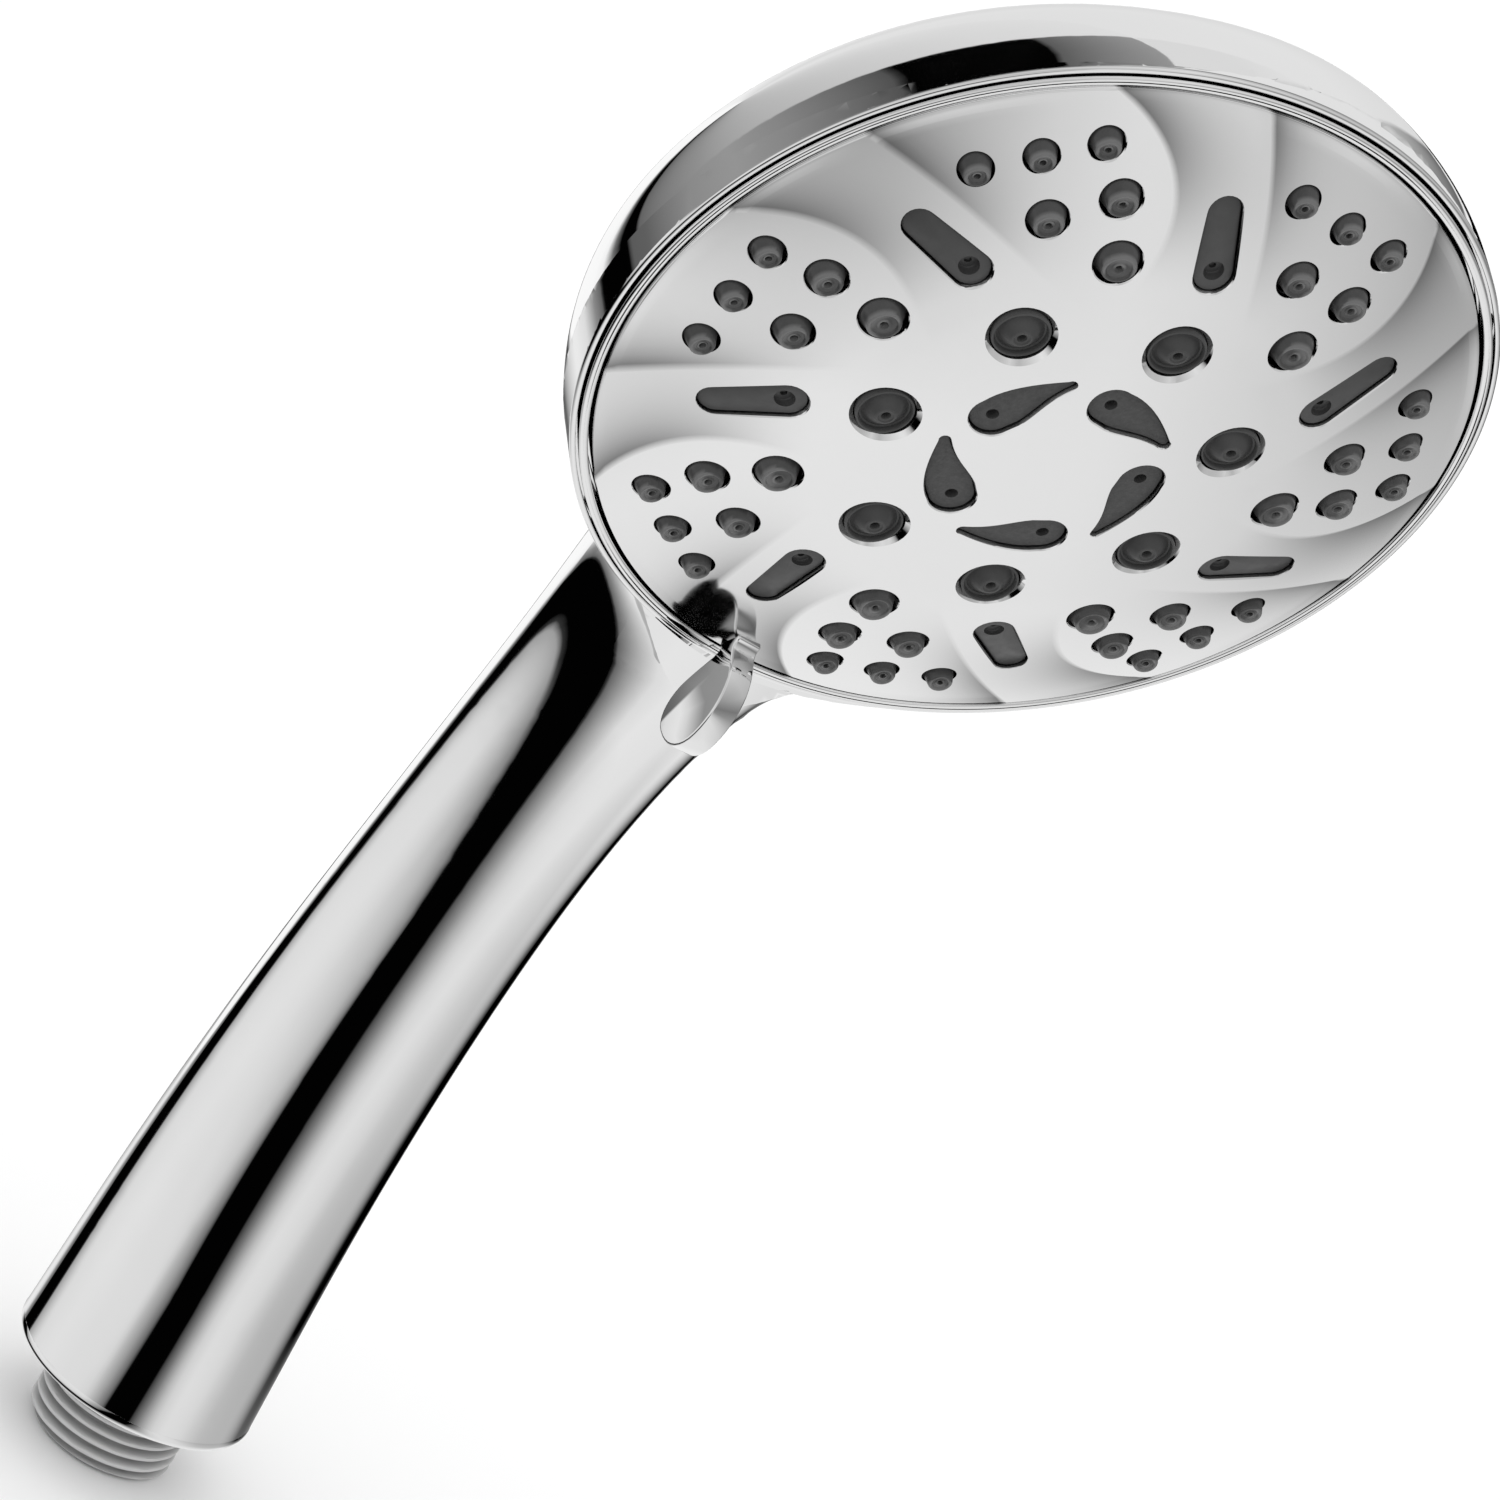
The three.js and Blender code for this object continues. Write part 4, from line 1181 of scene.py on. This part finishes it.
IN_FRONT = [
    (-180, 210), (-134, 180), (-108, 200), (-76, 215), (-62, 120), (-51, 80), (-50, 2), (-27, 2),
    (-26, 52), (-12, 118), (0, 158), (12, 190), (24, 212), (40, 224), (56, 224), (66, 205), (78, 140),
    (90, 120), (180, 210),
]
BACKDROP_EDGE = (0.07, 1.22, 0.37)  # the backdrop starts where a direction's product with this passes 1
RIM_EDGE = 0.9
EDGE_CARD = (0.51, 0.8, -0.31)  # direction of a dark card behind the object, which darkens its outlines
EDGE_CARD_REACH = (0.972, 0.992)
EDGE_GREY = 120
PANEL_LEAN = 0.63
PANEL_END = 1.6
PANEL_GONE = 2.65
DRIFT = 9  # degrees by which the left panel's edge shifts near the front
DRIFT_FROM = -38
DRIFT_REACH = (-0.55, -0.85)
BLACK = (0, 0, 0, 1)


def light(value):
    """Opaque grey in linear light for a displayed value from 0 to 255."""
    v = value / 255
    level = v / 12.92 if v <= 0.04045 else ((v + 0.055) / 1.055) ** 2.4
    return (level, level, level, 1)


def ramp(tree, turn, stops):
    """The studio's light at each angle, as a colour ramp over a full turn."""
    node = tree.nodes.new("ShaderNodeValToRGB")
    elements = node.color_ramp.elements
    while len(elements) > 1:
        elements.remove(elements[-1])
    for index, (angle, value) in enumerate(stops):
        position = (angle + 180) / 360
        element = elements[0] if index == 0 else elements.new(position)
        element.position = position
        element.color = light(value)
    tree.links.new(turn, node.inputs["Fac"])
    return node.outputs["Color"]


def calculate(tree, operation, *inputs, clamp=False):
    """A maths node on sockets and numbers."""
    node = tree.nodes.new("ShaderNodeMath")
    node.operation = operation
    node.use_clamp = clamp
    for socket, value in zip(node.inputs, inputs):
        if isinstance(value, (int, float)):
            socket.default_value = value
        else:
            tree.links.new(value, socket)
    return node.outputs["Value"]


def between(tree, value, low, high):
    """Share of the way from low to high, from 0 to 1."""
    return calculate(tree, "MULTIPLY", calculate(tree, "SUBTRACT", value, low), 1 / (high - low), clamp=True)


def along(tree, direction, weights):
    """How far a direction points along another."""
    total = 0
    for part, weight in zip(direction, weights):
        total = calculate(tree, "MULTIPLY_ADD", part, weight, total)
    return total


def turn_of(tree, x, y, down):
    """Share of a full turn at which a direction lies, with the drift of the left panel's edge."""
    angle = calculate(tree, "ARCTAN2", x, down)
    left = calculate(tree, "LESS_THAN", angle, math.radians(DRIFT_FROM))
    drift = calculate(tree, "MULTIPLY", between(tree, y, *DRIFT_REACH), DRIFT / 360)
    drift = calculate(tree, "MULTIPLY", drift, left)
    return calculate(tree, "ADD", calculate(tree, "MULTIPLY_ADD", angle, 1 / (2 * math.pi), 0.5), drift)


def panel_share(tree, x, y, down):
    """1 where the side panels are, and 0 past their far end, below the object."""
    sideways = calculate(tree, "MULTIPLY_ADD", y, PANEL_LEAN, x)
    lean = calculate(tree, "DIVIDE", sideways, calculate(tree, "MAXIMUM", down, 0.02))
    panel = calculate(tree, "SUBTRACT", 1, between(tree, lean, PANEL_END, PANEL_GONE), clamp=True)
    return calculate(tree, "MAXIMUM", panel, calculate(tree, "LESS_THAN", down, 0))


def reflected_light(tree, direction):
    """What polished metal shows in a direction: the panels from front to back, then the dark card."""
    x, y, z = direction
    down = calculate(tree, "MULTIPLY", z, -1)
    turn = turn_of(tree, x, y, down)
    share = panel_share(tree, x, y, down)
    backdrop_edge = along(tree, direction, BACKDROP_EDGE)
    side = blend_colours(tree, share, BLACK, ramp(tree, turn, SIDE))
    rim = blend_colours(tree, share, BLACK, ramp(tree, turn, RIM_SIDE))
    steps = (
        (between(tree, y, -0.9, -0.5), ramp(tree, turn, LEVEL)),
        (between(tree, y, -0.1, 0.3), side),
        (between(tree, backdrop_edge, RIM_EDGE - 0.02, RIM_EDGE), rim),
        (between(tree, backdrop_edge, 0.99, 1), ramp(tree, turn, BACKDROP)),
        (between(tree, along(tree, direction, EDGE_CARD), *EDGE_CARD_REACH), light(EDGE_GREY)),
    )
    colour = ramp(tree, turn, IN_FRONT)
    for step, next_colour in steps:
        colour = blend_colours(tree, step, colour, next_colour)
    return colour


def studio():
    """White room, with soft panels and black gaps that only the polished metal shows."""
    world = bpy.data.worlds.new("studio")
    bpy.context.scene.world = world
    world.use_nodes = True
    tree = world.node_tree
    place = tree.nodes.new("ShaderNodeTexCoord")
    split = tree.nodes.new("ShaderNodeSeparateXYZ")
    tree.links.new(place.outputs["Generated"], split.inputs[0])
    paths = tree.nodes.new("ShaderNodeLightPath")
    room = (ROOM_LIGHT, ROOM_LIGHT, ROOM_LIGHT, 1)
    reflected = reflected_light(tree, split.outputs[:])
    colour = blend_colours(tree, paths.outputs["Is Glossy Ray"], room, reflected)
    tree.links.new(colour, tree.nodes["Background"].inputs["Color"])


def floor():
    """Plain white ground that the metal doesn't mirror."""
    half = 3000
    corners = [(-half, -half, 0), (half, -half, 0), (half, half, 0), (-half, half, 0)]
    obj = make_object("floor", corners, [[0, 1, 2, 3]])
    material, tree, node = shader("white_ground", (0.86, 0.86, 0.86, 1), 0, 0.9, Specular_IOR_Level=0.0)
    vary(tree, noise(tree, 3, 2), 0.85, 0.95, node.inputs["Roughness"])
    obj.data.materials.append(material)
    obj.visible_glossy = False


def camera():
    """Long lens from the front left, a little above the head."""
    data = bpy.data.cameras.new("camera")
    data.lens = CAMERA_LENS
    data.sensor_width = 36
    data.clip_end = 10
    obj = bpy.data.objects.new("camera", data)
    bpy.context.scene.collection.objects.link(obj)
    obj.location = Vector(CAMERA_AT) * MM
    obj.rotation_euler = [math.radians(angle) for angle in CAMERA_TURN]
    bpy.context.scene.camera = obj


CARRIED_OVER = {  # CAD nodes that stay as they are, by material slot
    "grey_plastic": ["flow_restrictor"],
    "white_plastic": ["inlet_elbow", "manifold", "spray_plate", "distributor_disc"],
    "seal_rubber": [
        "end_o_ring", "restrictor_o_ring", "core_o_ring", "port_seal", "spindle_o_ring", "face_o_ring",
    ],
    "steel": [
        "filter_screen", "port_spring", "detent_ball", "detent_spring", "spindle_screw", "thrust_washer",
        "manifold_screw_1", "manifold_screw_2", "manifold_screw_3",
    ],
}


def build():
    chrome, satin, silicone = chrome_material(), satin_material(), silicone_material()
    stippled = stippled_material()
    grey_plastic = plastic_material("grey_plastic", 96, 0.42)
    dark_plastic = plastic_material("dark_plastic", 62, 0.38)
    white_plastic = plastic_material("white_plastic", 214, 0.4)
    slots = {
        "chrome": chrome, "satin_chrome": satin, "silicone": silicone, "grey_plastic": grey_plastic,
        "white_plastic": white_plastic, "seal_rubber": rubber_material(), "steel": steel_material(),
    }
    for slot, names in CARRIED_OVER.items():
        for name in names:
            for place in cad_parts[name].material_slots:
                place.material = slots[slot]
    body_skin(chrome)
    end_ring(chrome)
    rim_lip(chrome)
    rim_bezel(chrome)
    face_plate(satin)
    nozzles(silicone)
    slot_plugs(silicone)
    teardrops(stippled)
    mist_inserts(dark_plastic)
    selector_lever(chrome)
    handle_core(thread_material())


build()
studio()
floor()
camera()
bpy.context.scene.view_settings.view_transform = "Standard"
